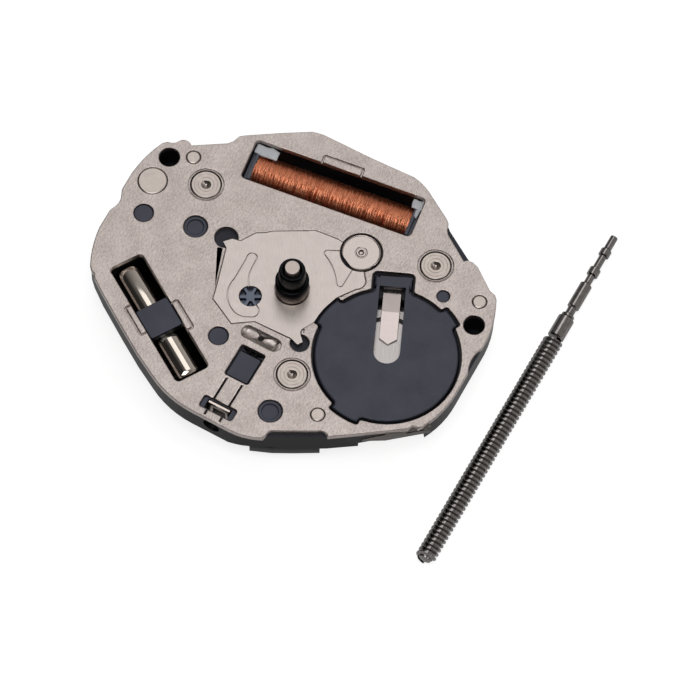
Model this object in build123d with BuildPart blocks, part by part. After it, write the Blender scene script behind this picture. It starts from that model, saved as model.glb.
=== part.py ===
"""Two-hand quartz watch movement, modelled dial side up, in millimetres.

The origin is on the hand axis, at the dial seat, which is the top face of the metal dial plate.
+X points out along the winding stem at 3 o'clock, +Y points to 12 o'clock, +Z points to the dial.
"""

import os
from math import acos, atan2, cos, degrees, hypot, pi, radians, sin, sqrt, tan

from build123d import *

os.makedirs("parts", exist_ok=True)

# Outlines and sheets
outline_reach = 10.0
plate_thickness = 0.28
guard_thickness = 0.12
rim_depth = 1.50
back_depth = 2.72
lower_body_inset = 0.75
board_pocket_inset = 1.00
emboss_depth = 0.03
coin_depth = 0.06
corner_radius = 0.12
window_corner_radius = 0.20
tab_groove_width = 0.07
guard_groove_width = 0.04
cut_overrun = 0.50

# Clearances
press_gap = 0.01
running_gap = 0.02
seat_gap = 0.03
air_gap = 0.06

# Hands and motion works
hour_tube_diameter = 1.20
hour_tube_top = 1.97
hour_flange_diameter = 1.51
hour_flange_top = 0.45
minute_seat_diameter = 0.65
minute_seat_bottom = hour_tube_top + running_gap
minute_top = 2.22
cannon_pipe_diameter = 0.70
motion_centre_distance = 1.86
minute_wheel_direction = -50.7
cannon_teeth = 10
minute_wheel_teeth = 30
minute_pinion_leaves = 6
hour_wheel_teeth = 24
hour_wheel_thickness = 0.11
minute_wheel_thickness = 0.11
motion_gap = 0.07
star_hole_diameter = 1.00
setting_wheel_teeth = 15
setting_arbor_radius = 0.12
minute_pivot_radius = 0.14
minute_pivot_length = 0.34

# Going train
rotor_x = -3.06
rotor_y = 1.78
first_mesh_direction = -75.6
first_module = 0.066
second_module = 0.072
third_module = 0.090
train_pinion_leaves = 8
train_wheel_teeth = 48
centre_wheel_teeth = 40
train_wheel_thickness = 0.10
train_ceiling = 0.90
centre_wheel_depth = 1.00
second_wheel_depth = 1.34
first_wheel_depth = 1.74
bridge_depth = 2.00
bridge_thickness = 0.25
pivot_radius = 0.08
pivot_length = 0.12
arbor_radius = 0.14
centre_arbor_radius = 0.26
centre_seat_radius = 0.20
pinion_overlap = 0.14

# Step motor
magnet_diameter = 1.30
magnet_thickness = 0.40
magnet_depth = 1.22
rotor_pinion_top_depth = 1.66
rotor_pinion_height = 0.26
rotor_bearing_diameter = 1.77
rotor_hub_ring_diameter = 0.60
rotor_hub_hole_diameter = 0.32
rotor_pivot_radius = 0.07
stator_depth = 1.27
stator_thickness = 0.30
stator_hole_diameter = 1.60
stator_lobe_diameter = 2.50
stator_ear_diameter = 1.50

# Coil
coil_x = -5.24
coil_y = -0.84
coil_direction = 97.6
coil_end_room = 0.355
coil_window_width = 2.01
coil_axis_depth = 1.12
coil_length = 7.34
coil_window_length = coil_length + 2 * coil_end_room
coil_diameter = 1.56
coil_wire_diameter = 0.16
coil_pitch = 0.575
coil_flange_thickness = 0.16
coil_flange_size = 1.60
coil_tube_wall = 0.10
core_width = 0.70
core_thickness = 0.30
core_ear_diameter = 1.50

# Crystal
crystal_x = 4.03
crystal_y = -4.42
crystal_direction = 58.0
crystal_window_length = 6.25
crystal_window_width = 1.61
crystal_diameter = 2.00
crystal_length = 6.00
crystal_wall = 0.12
crystal_axis_depth = 1.42
crystal_lead_diameter = 0.20
crystal_lead_spacing = 0.50
lead_run = 0.28
strap_length = 1.50

# Battery and its contacts
battery_x = 0.78
battery_y = 5.14
battery_diameter = 5.80
battery_height = 2.15
battery_cap_diameter = 3.95
battery_cap_rise = 0.27
battery_cap_depth = 0.42
battery_shell = 0.20
cup_diameter = 6.43
cup_ear_diameter = 7.00
cup_floor_thickness = 0.30
cup_top_depth = 0.02
cup_tab_width = 1.75
cup_tab_reach = 3.98
slot_direction = 203.7
slot_width = 1.16
slot_reach = 3.35
slot_end_reach = 0.20
leaf_width = 0.80
leaf_thickness = 0.08
leaf_tip_reach = 0.68
leaf_bend_reach = 2.20
leaf_point = 0.27
side_contact_thickness = 0.12
cover_thickness = 0.15

# Screws, tubes and pins
tube_a_x = -2.63
tube_a_y = -5.83
tube_b_x = -4.09
tube_b_y = 4.95
tube_c_x = 3.58
tube_c_y = 1.99
tube_head_diameter = 1.41
tube_diameter = 1.10
tube_dimple_diameter = 0.47
tube_thread_diameter = 0.64
tube_thread_top_depth = 1.20
coined_ring_width = 0.04
screw_head_diameter = 1.30
screw_head_height = 0.25
screw_slot_width = 0.16
rivet_x = -1.64
rivet_y = -7.99
rivet_diameter = 1.29
pin_diameter = 0.62
pin_length = 1.00

# Stem and keyless works
stem_y = -0.03
stem_depth = 0.72
stem_pivot_diameter = 0.35
stem_neck_diameter = 0.34
stem_collar_diameter = 0.50
stem_drive_diameter = 0.52
stem_guide_diameter = 0.56
stem_groove_diameter = 0.40
stem_catch_diameter = 0.60
stem_shoulder_diameter = 0.76
stem_thread_diameter = 0.90
stem_length = 17.85
loose_stem_tip_x = -10.24
loose_stem_y = 10.78
window_x = 4.17
window_length = 1.62
window_width = 1.18
cross_slot_x = 6.545
cross_slot_length = 0.59
cross_slot_width = 1.62
tongue_width = 0.68
tongue_slit_width = 0.07
clutch_x = 3.66
clutch_length = 0.70
clutch_diameter = 0.90
clutch_groove_diameter = 0.62
clutch_groove_width = 0.18
clutch_travel = 0.13
clutch_teeth = 12
crown_tooth_height = 0.10
lever_pivot_x = 5.57
lever_pivot_y = 2.01
yoke_pivot_x = 3.53
yoke_pivot_y = -1.72
lever_depth = 1.24
lever_thickness = 0.12
lug_x = 6.43
lug_thickness = 0.10
lug_width = 1.05
post_diameter = 0.50
hub_diameter = 0.90

# Small places on the plate
foot_hole_diameter = 0.92
foot_hole_depth = 1.45
hook_hole_a_x = -0.80
hook_hole_a_y = -3.77
hook_hole_a_diameter = 1.04
hook_hole_b_x = 2.10
hook_hole_b_y = 1.54
hook_hole_b_diameter = 0.84
dish_diameter = 1.07
peg_diameter = 0.88
small_peg_diameter = 0.58

foot_hole_shares = [(-0.302, -0.793), (-0.238, 0.778)]
peg_shares = [(-0.007, -0.755), (0.353, -0.172)]
small_peg_shares = [(-0.295, 0.594)]
dish_shares = [(-0.061, -0.522), (0.557, 0.201)]
pin_shares = [(-0.354, -0.699), (-0.349, 0.746), (0.471, 0.389)]

# Each step of an outline is one point for a straight line, or a middle and an end for an arc.
plate_start_share = (0.722, 0.090)
plate_shares = [
    [(0.712, 0.165), (0.685, 0.235)],
    [(0.662, 0.240)],
    [(0.640, 0.248), (0.627, 0.268)],
    [(0.541, 0.425)],
    [(0.529, 0.455), (0.542, 0.478)],
    [(0.340, 0.762)],
    [(0.322, 0.772)],
    [(0.312, 0.785), (0.318, 0.800)],
    [(0.300, 0.812)],
    [(0.200, 0.851), (0.080, 0.865)],
    [(-0.025, 0.864)],
    [(-0.095, 0.847), (-0.160, 0.862)],
    [(-0.210, 0.862)],
    [(-0.310, 0.841), (-0.395, 0.807)],
    [(-0.412, 0.790)],
    [(-0.420, 0.760)],
    [(-0.495, 0.660)],
    [(-0.505, 0.630)],
    [(-0.502, 0.605)],
    [(-0.490, 0.592)],
    [(-0.572, 0.468)],
    [(-0.590, 0.455)],
    [(-0.620, 0.446)],
    [(-0.635, 0.430)],
    [(-0.700, 0.322)],
    [(-0.732, 0.262), (-0.747, 0.205)],
    [(-0.738, -0.010)],
    [(-0.736, -0.250)],
    [(-0.726, -0.298)],
    [(-0.650, -0.420)],
    [(-0.560, -0.555)],
    [(-0.545, -0.573)],
    [(-0.512, -0.583)],
    [(-0.490, -0.600)],
    [(-0.402, -0.736)],
    [(-0.413, -0.766), (-0.402, -0.790)],
    [(-0.382, -0.802)],
    [(-0.371, -0.818), (-0.366, -0.838)],
    [(-0.348, -0.855)],
    [(-0.255, -0.885), (-0.150, -0.899)],
    [(-0.062, -0.897)],
    [(-0.035, -0.885)],
    [(0.000, -0.876), (0.035, -0.885)],
    [(0.055, -0.892)],
    [(0.150, -0.890)],
    [(0.255, -0.865), (0.330, -0.833)],
    [(0.352, -0.812)],
    [(0.356, -0.796)],
    [(0.374, -0.786)],
    [(0.420, -0.722)],
    [(0.520, -0.568)],
    [(0.600, -0.440)],
    [(0.660, -0.330)],
    [(0.705, -0.215), (0.720, -0.100)],
]
base_start_share = (0.718, 0.080)
base_shares = [
    [(0.706, 0.130), (0.690, 0.172)],
    [(0.650, 0.262), (0.608, 0.345)],
    [(0.536, 0.470)],
    [(0.338, 0.758)],
    [(0.298, 0.808)],
    [(0.200, 0.848), (0.080, 0.862)],
    [(-0.200, 0.858)],
    [(-0.310, 0.838), (-0.393, 0.803)],
    [(-0.418, 0.758)],
    [(-0.492, 0.658)],
    [(-0.512, 0.610)],
    [(-0.530, 0.580)],
    [(-0.600, 0.465)],
    [(-0.634, 0.426)],
    [(-0.697, 0.320)],
    [(-0.729, 0.261), (-0.744, 0.204)],
    [(-0.735, -0.010)],
    [(-0.733, -0.250)],
    [(-0.723, -0.297)],
    [(-0.647, -0.419)],
    [(-0.550, -0.563)],
    [(-0.487, -0.599)],
    [(-0.402, -0.728)],
    [(-0.398, -0.780)],
    [(-0.345, -0.851)],
    [(-0.255, -0.882), (-0.150, -0.896)],
    [(-0.062, -0.894)],
    [(-0.035, -0.882)],
    [(0.000, -0.873), (0.035, -0.882)],
    [(0.150, -0.887)],
    [(0.255, -0.862), (0.327, -0.830)],
    [(0.358, -0.798)],
    [(0.417, -0.720)],
    [(0.517, -0.566)],
    [(0.597, -0.438)],
    [(0.657, -0.328)],
    [(0.702, -0.215), (0.717, -0.100)],
]
guard_start_share = (-0.035, -0.350)
guard_shares = [
    [(0.160, -0.292)],
    [(0.208, -0.280)],
    [(0.273, -0.152)],
    [(0.214, -0.068)],
    [(0.209, 0.110)],
    [(0.222, 0.150)],
    [(0.200, 0.165)],
    [(0.176, 0.142)],
    [(0.155, 0.131), (0.133, 0.140)],
    [(0.090, 0.161)],
    [(0.050, 0.162)],
    [(0.010, 0.168)],
    [(-0.060, 0.189)],
    [(-0.140, 0.245)],
    [(-0.180, 0.265), (-0.205, 0.250)],
    [(-0.300, 0.180)],
    [(-0.312, 0.060)],
    [(-0.305, -0.010)],
    [(-0.300, -0.055)],
    [(-0.282, -0.080)],
    [(-0.206, -0.212)],
    [(-0.182, -0.238)],
    [(-0.163, -0.272)],
    [(-0.095, -0.313)],
    [(-0.088, -0.350)],
    [(-0.055, -0.380)],
]
stator_shares = [(-0.335, 0.300), (-0.405, 0.560), (-0.480, 0.460), (-0.430, 0.100), (-0.415, -0.300),
                 (-0.360, -0.530), (-0.300, -0.650), (-0.200, -0.560), (-0.320, -0.480), (-0.345, -0.300),
                 (-0.345, 0.000)]
bridge_shares = [(-0.500, 0.520), (-0.340, 0.560), (-0.255, 0.360), (-0.120, 0.230), (0.090, 0.172),
                 (0.260, 0.245), (0.420, 0.270), (0.430, 0.150), (0.300, 0.090), (0.200, 0.060),
                 (0.200, -0.230), (0.040, -0.370), (-0.150, -0.490), (-0.175, -0.660), (-0.350, -0.660),
                 (-0.400, -0.500), (-0.590, -0.400), (-0.630, 0.100), (-0.580, 0.320)]
board_shares = [(-0.590, 0.190), (-0.520, 0.350), (-0.415, 0.510), (-0.375, 0.590), (-0.300, 0.650), (0.078, 0.514),
                (0.470, 0.290), (0.530, 0.190), (0.585, 0.040), (0.585, -0.080), (0.464, -0.127), (0.146, -0.635),
                (0.160, -0.655), (0.262, -0.724), (0.245, -0.745), (0.140, -0.750), (-0.060, -0.755),
                (-0.240, -0.745), (-0.290, -0.700), (-0.380, -0.560), (-0.450, -0.460), (-0.590, -0.250)]
lever_shares = [(0.520, 0.165), (0.585, 0.090), (0.615, -0.055), (0.665, -0.055), (0.665, 0.060), (0.600, 0.230)]
yoke_shares = [(0.325, -0.185), (0.378, -0.060), (0.378, 0.030), (0.424, 0.060), (0.440, 0.020), (0.420, -0.060),
               (0.385, -0.160)]
spring_shares = [(0.310, -0.210), (0.360, -0.070), (0.440, 0.060), (0.510, 0.235), (0.590, 0.250), (0.610, 0.180),
                 (0.560, 0.140), (0.480, 0.050), (0.400, -0.190)]

# Levels, measured down from the dial seat
plate_bottom = -plate_thickness
guard_bottom = -guard_thickness
hour_wheel_top = guard_bottom - seat_gap
hour_wheel_bottom = hour_wheel_top - hour_wheel_thickness
minute_wheel_top = hour_wheel_bottom - motion_gap
minute_wheel_bottom = minute_wheel_top - minute_wheel_thickness
motion_floor = minute_wheel_bottom - motion_gap
cup_floor_bottom = -cup_top_depth - cup_floor_thickness
bridge_bottom = -bridge_depth - bridge_thickness
cover_top = -back_depth + cover_thickness
battery_bottom = -battery_cap_depth - battery_height
core_top = -coil_axis_depth + core_thickness / 2
stem_z = -stem_depth


def place(share):
    """A point of an outline, from its shares of the outline's reach."""
    return (share[0] * outline_reach, share[1] * outline_reach)


def at(centre, level, direction=0):
    """A level plane at a point, with its X axis turned to a direction."""
    turn = radians(direction)
    return Plane(origin=(centre[0], centre[1], level), x_dir=(cos(turn), sin(turn), 0), z_dir=(0, 0, 1))


def polar(centre, reach, direction):
    """The point at a distance from a centre, in a direction."""
    turn = radians(direction)
    return (centre[0] + reach * cos(turn), centre[1] + reach * sin(turn))


def heading(start, end):
    """The direction from one point to another, in degrees."""
    return degrees(atan2(end[1] - start[1], end[0] - start[0]))


def apart(start, end):
    return hypot(end[0] - start[0], end[1] - start[1])


def meet(first, first_reach, second, second_reach):
    """The point at given distances from two others, to the right of the way from first to second."""
    span = apart(first, second)
    turn = acos((first_reach**2 + span**2 - second_reach**2) / (2 * first_reach * span))
    return polar(first, first_reach, heading(first, second) - degrees(turn))


def disc(centre, low, high, radius, mode=Mode.ADD):
    with BuildSketch(at(centre, low)) as profile:
        Circle(radius)
    extrude(profile.sketch, amount=high - low, mode=mode)


def block(centre, low, high, length, width, direction=0, corner=0, mode=Mode.ADD):
    """A bar with rounded upright edges, its length along a direction."""
    with BuildSketch(at(centre, low, direction)) as profile:
        if corner > 0:
            RectangleRounded(length, width, corner)
        else:
            Rectangle(length, width)
    extrude(profile.sketch, amount=high - low, mode=mode)


def prism(points, low, high, mode=Mode.ADD):
    with BuildSketch(Plane.XY.offset(low)) as profile:
        with BuildLine():
            Polyline(*points, close=True)
        make_face()
    extrude(profile.sketch, amount=high - low, mode=mode)


def outlined(start_share, step_shares, low, high, grow=0, mode=Mode.ADD, kind=Kind.INTERSECTION):
    """A sheet with an outline of lines and arcs, grown or shrunk all round."""
    with BuildSketch(Plane.XY.offset(low)) as profile:
        with BuildLine():
            here = place(start_share)
            for step in step_shares:
                points = [place(share) for share in step]
                if len(points) > 1:
                    ThreePointArc(here, points[0], points[1])
                else:
                    Line(here, points[0])
                here = points[-1]
            Line(here, place(start_share))
        make_face()
        if grow:
            offset(amount=grow, kind=kind)
    extrude(profile.sketch, amount=high - low, mode=mode)


def rod(start, end, radius, mode=Mode.ADD):
    """A round rod between two points in space."""
    way = Vector(*end) - Vector(*start)
    with BuildSketch(Plane(origin=start, z_dir=way)) as profile:
        Circle(radius)
    extrude(profile.sketch, amount=way.length, mode=mode)


# Gears: a tooth is a wedge, given by shares of the module and of the angle between teeth.
tip_share = 0.85
root_share = 1.25
root_width_share = 0.30
tip_width_share = 0.13


def tip_radius(teeth, module):
    return teeth * module / 2 + tip_share * module


def gear(centre, low, high, teeth, module, phase):
    """A toothed disc, with the middle of one tooth at the phase angle."""
    root = teeth * module / 2 - root_share * module
    tip = tip_radius(teeth, module)
    step = 360 / teeth
    points = []
    for count in range(teeth):
        middle = phase + count * step
        points.append(polar(centre, root, middle - root_width_share * step))
        points.append(polar(centre, tip, middle - tip_width_share * step))
        points.append(polar(centre, tip, middle + tip_width_share * step))
        points.append(polar(centre, root, middle + root_width_share * step))
    prism(points, low, high)


def meshed_phase(phase, teeth, direction, other_teeth):
    """The phase of a gear that meshes with another one, which lies in a direction from the first."""
    step = 360 / teeth
    behind = (direction - phase) % step
    return direction + 180 + behind * teeth / other_teeth + 180 / other_teeth


# Places of the axes
hand_axis = (0, 0)
rotor_axis = (rotor_x, rotor_y)
battery_axis = (battery_x, battery_y)
coil_middle = (coil_x, coil_y)
crystal_middle = (crystal_x, crystal_y)
tube_axes = [(tube_a_x, tube_a_y), (tube_b_x, tube_b_y), (tube_c_x, tube_c_y)]
foot_holes = [place(share) for share in foot_hole_shares]
pin_axes = [place(share) for share in pin_shares]
lever_axis = (lever_pivot_x, lever_pivot_y)
yoke_axis = (yoke_pivot_x, yoke_pivot_y)

minute_axis = polar(hand_axis, motion_centre_distance, minute_wheel_direction)
fast_module = 2 * motion_centre_distance / (cannon_teeth + minute_wheel_teeth)
slow_module = 2 * motion_centre_distance / (minute_pinion_leaves + hour_wheel_teeth)
setting_distance = fast_module * (minute_wheel_teeth + setting_wheel_teeth) / 2
setting_rise = stem_y - minute_axis[1]
setting_axis = (minute_axis[0] + sqrt(setting_distance**2 - setting_rise**2), stem_y)

first_distance = first_module * (train_pinion_leaves + train_wheel_teeth) / 2
second_distance = second_module * (train_pinion_leaves + train_wheel_teeth) / 2
third_distance = third_module * (train_pinion_leaves + centre_wheel_teeth) / 2
first_axis = polar(rotor_axis, first_distance, first_mesh_direction)
second_axis = meet(first_axis, second_distance, hand_axis, third_distance)

hour_recess_radius = tip_radius(hour_wheel_teeth, slow_module) + air_gap
minute_recess_radius = tip_radius(minute_wheel_teeth, fast_module) + air_gap
setting_recess_radius = tip_radius(setting_wheel_teeth, fast_module) + air_gap
centre_room_radius = tip_radius(centre_wheel_teeth, third_module) + air_gap
first_room_radius = tip_radius(train_wheel_teeth, first_module) + air_gap
second_room_radius = tip_radius(train_wheel_teeth, second_module) + air_gap


# Battery cup: a round floor with three ears and a square tab, seen flush in the dial plate
ear_direction_shares = [(0.683, 0.758), (0.397, 0.447), (-0.046, 0.022)]


def cup_outline(low, high, grow=0, mode=Mode.ADD):
    """The cup's round outline with its ears and tab, grown all round."""
    with BuildSketch(at(battery_axis, low)) as profile:
        Circle(cup_diameter / 2 + grow)
        for start_share, end_share in ear_direction_shares:
            start = 360 * start_share
            end = 360 * end_share
            reach = cup_ear_diameter / 2 + grow
            with BuildLine():
                Line((0, 0), polar((0, 0), reach, start))
                ThreePointArc(
                    polar((0, 0), reach, start), polar((0, 0), reach, (start + end) / 2), polar((0, 0), reach, end)
                )
                Line(polar((0, 0), reach, end), (0, 0))
            make_face()
        with Locations(Location((0, 0, 0), (0, 0, slot_direction))):
            with Locations((cup_tab_reach - cup_tab_width / 2, 0)):
                RectangleRounded(cup_tab_width + 2 * grow, cup_tab_width + 2 * grow, 2 * corner_radius)
        # rounds the ears' outer corners, then the inner ones
        for reach in (-corner_radius, 2 * corner_radius, -corner_radius):
            offset(amount=reach, mode=Mode.REPLACE)
    extrude(profile.sketch, amount=high - low, mode=mode)


def cup_slot(low, high):
    """The slot in the cup's floor over the negative contact."""
    end = polar(battery_axis, slot_end_reach, slot_direction)
    middle = polar(battery_axis, (slot_reach + slot_end_reach) / 2, slot_direction)
    disc(end, low, high, slot_width / 2, mode=Mode.SUBTRACT)
    block(middle, low, high, slot_reach - slot_end_reach, slot_width, slot_direction, mode=Mode.SUBTRACT)


# Dial plate: the stamped sheet that the dial lies on
with BuildPart() as dial_plate:
    outlined(plate_start_share, plate_shares, plate_bottom, 0)
    cup_outline(plate_bottom, 0, grow=air_gap, mode=Mode.SUBTRACT)
    outlined(guard_start_share, guard_shares, guard_bottom, 0, grow=running_gap, mode=Mode.SUBTRACT)
    disc(hand_axis, plate_bottom, 0, hour_recess_radius, mode=Mode.SUBTRACT)
    disc(minute_axis, plate_bottom, 0, star_hole_diameter / 2 + air_gap, mode=Mode.SUBTRACT)
    disc(rotor_axis, plate_bottom, 0, rotor_bearing_diameter / 2 + air_gap, mode=Mode.SUBTRACT)
    # coined grooves round the tabs beside the coil's and the crystal's windows
    coil_tab_length_share = 0.24
    crystal_tab_length_share = 0.25
    tab_width_share = 0.20
    coil_tab = (polar(coil_middle, coil_window_width / 2, coil_direction + 90),
                coil_tab_length_share * coil_window_length, 2 * tab_width_share * coil_window_width, coil_direction)
    tabs = [coil_tab]
    for side in (-1, 1):
        middle = polar(crystal_middle, side * strap_length / 4, crystal_direction)
        tabs.append((polar(middle, crystal_window_width / 2, crystal_direction - side * -90),
                     crystal_tab_length_share * crystal_window_length, 2 * tab_width_share * crystal_window_width,
                     crystal_direction))
    for centre, length, width, direction in tabs:
        block(centre, -coin_depth, 0, length, width, direction, corner_radius, mode=Mode.SUBTRACT)
        block(centre, -coin_depth, 0, length - 2 * tab_groove_width, width - 2 * tab_groove_width, direction,
              corner_radius / 2)
    block(coil_middle, plate_bottom, 0, coil_window_length, coil_window_width, coil_direction,
          window_corner_radius, mode=Mode.SUBTRACT)
    block(crystal_middle, plate_bottom, 0, crystal_window_length, crystal_window_width, crystal_direction,
          window_corner_radius, mode=Mode.SUBTRACT)
    block((window_x, stem_y), plate_bottom, 0, window_length, window_width, 0, corner_radius, mode=Mode.SUBTRACT)
    block((cross_slot_x, stem_y), plate_bottom, 0, cross_slot_length, cross_slot_width, 0,
          corner_radius, mode=Mode.SUBTRACT)
    tongue_start = window_x + window_length / 2
    tongue_end = cross_slot_x - cross_slot_length / 2
    for side in (-1, 1):
        slit_y = stem_y + side * (tongue_width + tongue_slit_width) / 2
        block(((tongue_start + tongue_end) / 2 + corner_radius, slit_y), plate_bottom, 0,
              tongue_end - tongue_start, tongue_slit_width, mode=Mode.SUBTRACT)
        block((cross_slot_x + cross_slot_length / 2 + corner_radius, slit_y), plate_bottom, 0,
              2 * corner_radius, tongue_slit_width, mode=Mode.SUBTRACT)
    for centre in foot_holes:
        disc(centre, plate_bottom, 0, foot_hole_diameter / 2, mode=Mode.SUBTRACT)
    for centre in tube_axes:
        ring = tube_head_diameter / 2 + coined_ring_width
        disc(centre, -emboss_depth, 0, ring + coined_ring_width, mode=Mode.SUBTRACT)
        disc(centre, -emboss_depth, 0, ring)
        disc(centre, plate_bottom, 0, tube_head_diameter / 2 + press_gap, mode=Mode.SUBTRACT)
    for centre in pin_axes:
        disc(centre, plate_bottom, 0, pin_diameter / 2 + press_gap, mode=Mode.SUBTRACT)
    disc((rivet_x, rivet_y), plate_bottom, 0, rivet_diameter / 2 + press_gap, mode=Mode.SUBTRACT)
    for share in peg_shares:
        disc(place(share), plate_bottom, 0, peg_diameter / 2, mode=Mode.SUBTRACT)
    for share in small_peg_shares:
        disc(place(share), plate_bottom, 0, small_peg_diameter / 2, mode=Mode.SUBTRACT)
    for share in dish_shares:
        disc(place(share), plate_bottom, 0, dish_diameter / 2, mode=Mode.SUBTRACT)
    disc((hook_hole_a_x, hook_hole_a_y), plate_bottom, 0, hook_hole_a_diameter / 2, mode=Mode.SUBTRACT)
    disc((hook_hole_b_x, hook_hole_b_y), plate_bottom, 0, hook_hole_b_diameter / 2, mode=Mode.SUBTRACT)
    # a pill-shaped coined pocket over the setting wheel, with its pivot hole
    pocket_length_share = 1.60
    pocket_width_share = 0.52
    with BuildSketch(at(setting_axis, -coin_depth, 90)) as pocket:
        SlotOverall(pocket_length_share * window_width, pocket_width_share * window_width)
    extrude(pocket.sketch, amount=coin_depth, mode=Mode.SUBTRACT)
    disc(setting_axis, plate_bottom, 0, setting_arbor_radius + running_gap, mode=Mode.SUBTRACT)
dial_plate.part.label = "dial_plate"
export_step(dial_plate.part, "parts/dial_plate.step")


def stem_line(start, end, radius, mode=Mode.ADD):
    """A round rod on the stem's axis."""
    rod((start, stem_y, stem_z), (end, stem_y, stem_z), radius, mode)


def sheet(shares, low, high, grow=0, mode=Mode.ADD):
    """A flat sheet with straight sides, grown all round."""
    with BuildSketch(Plane.XY.offset(low)) as profile:
        with BuildLine():
            Polyline(*[place(share) for share in shares], close=True)
        make_face()
        if grow:
            offset(amount=grow)
    extrude(profile.sketch, amount=high - low, mode=mode)


def side_place(along, out):
    """A point beside the battery, along and out from its side contact."""
    return polar(polar(battery_axis, out, side_contact_direction), along, side_contact_direction - 90)


def side_block(start, end, near, far, low, high, mode=Mode.ADD):
    """A block beside the battery, between two places along its side contact."""
    corners = [side_place(start, near), side_place(end, near), side_place(end, far), side_place(start, far)]
    prism(corners, low, high, mode)


# The battery's side contact, seen at the open edge of the base
side_contact_direction = 40.4
side_contact_reach = 3.59
side_contact_start = -1.25
side_contact_end = 0.77
side_contact_tip = 1.81
side_contact_top = 0.28
side_contact_lance_top = 0.40
side_contact_lance_tip = 0.50
side_contact_bottom = 0.90
side_contact_slot = -0.55
side_contact_slot_depth = 0.50
side_contact_slot_length = 0.84
side_contact_slot_width = 0.14
side_contact_finger = 0.30
side_room_start = -0.99
side_room_end = 1.92
side_room_reach = 2.20
cup_wall = (cup_diameter - battery_diameter) / 2
can_corner = 0.25

# Rooms in the base for the negative contact, the coil, the crystal and the keyless works
leaf_room_width = leaf_width + 2 * seat_gap
leaf_tail_reach = 4.21
leaf_tail = polar(battery_axis, leaf_tail_reach, slot_direction)
coil_room_width = coil_window_width + 2 * running_gap
coil_ends = [polar(coil_middle, side * coil_length / 2, coil_direction) for side in (-1, 1)]
coil_ears = [tube_axes[0], tube_axes[1]]
crystal_room_width = crystal_diameter + 2 * air_gap
crystal_room_length = crystal_window_length + 2 * air_gap
stem_bore_diameter = 0.80
stem_guide_bore = stem_catch_diameter + 2 * running_gap
stem_pivot_bore = stem_pivot_diameter + 2 * press_gap
clutch_room_radius = clutch_diameter / 2 + air_gap
clutch_room_start = clutch_x - clutch_travel
clutch_room_end = clutch_x + clutch_length + air_gap
pad_top = -0.10
pad_start = 3.65
pad_end = 4.90
pad_width = 1.00
finger_x = 4.02
finger_thickness = 0.10
finger_reach = 0.40
finger_depth = 0.15
lever_top = -lever_depth
lever_bottom = lever_top - lever_thickness
spring_top = lever_bottom - air_gap
spring_thickness = 0.08
works_ceiling = lever_top + running_gap

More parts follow.
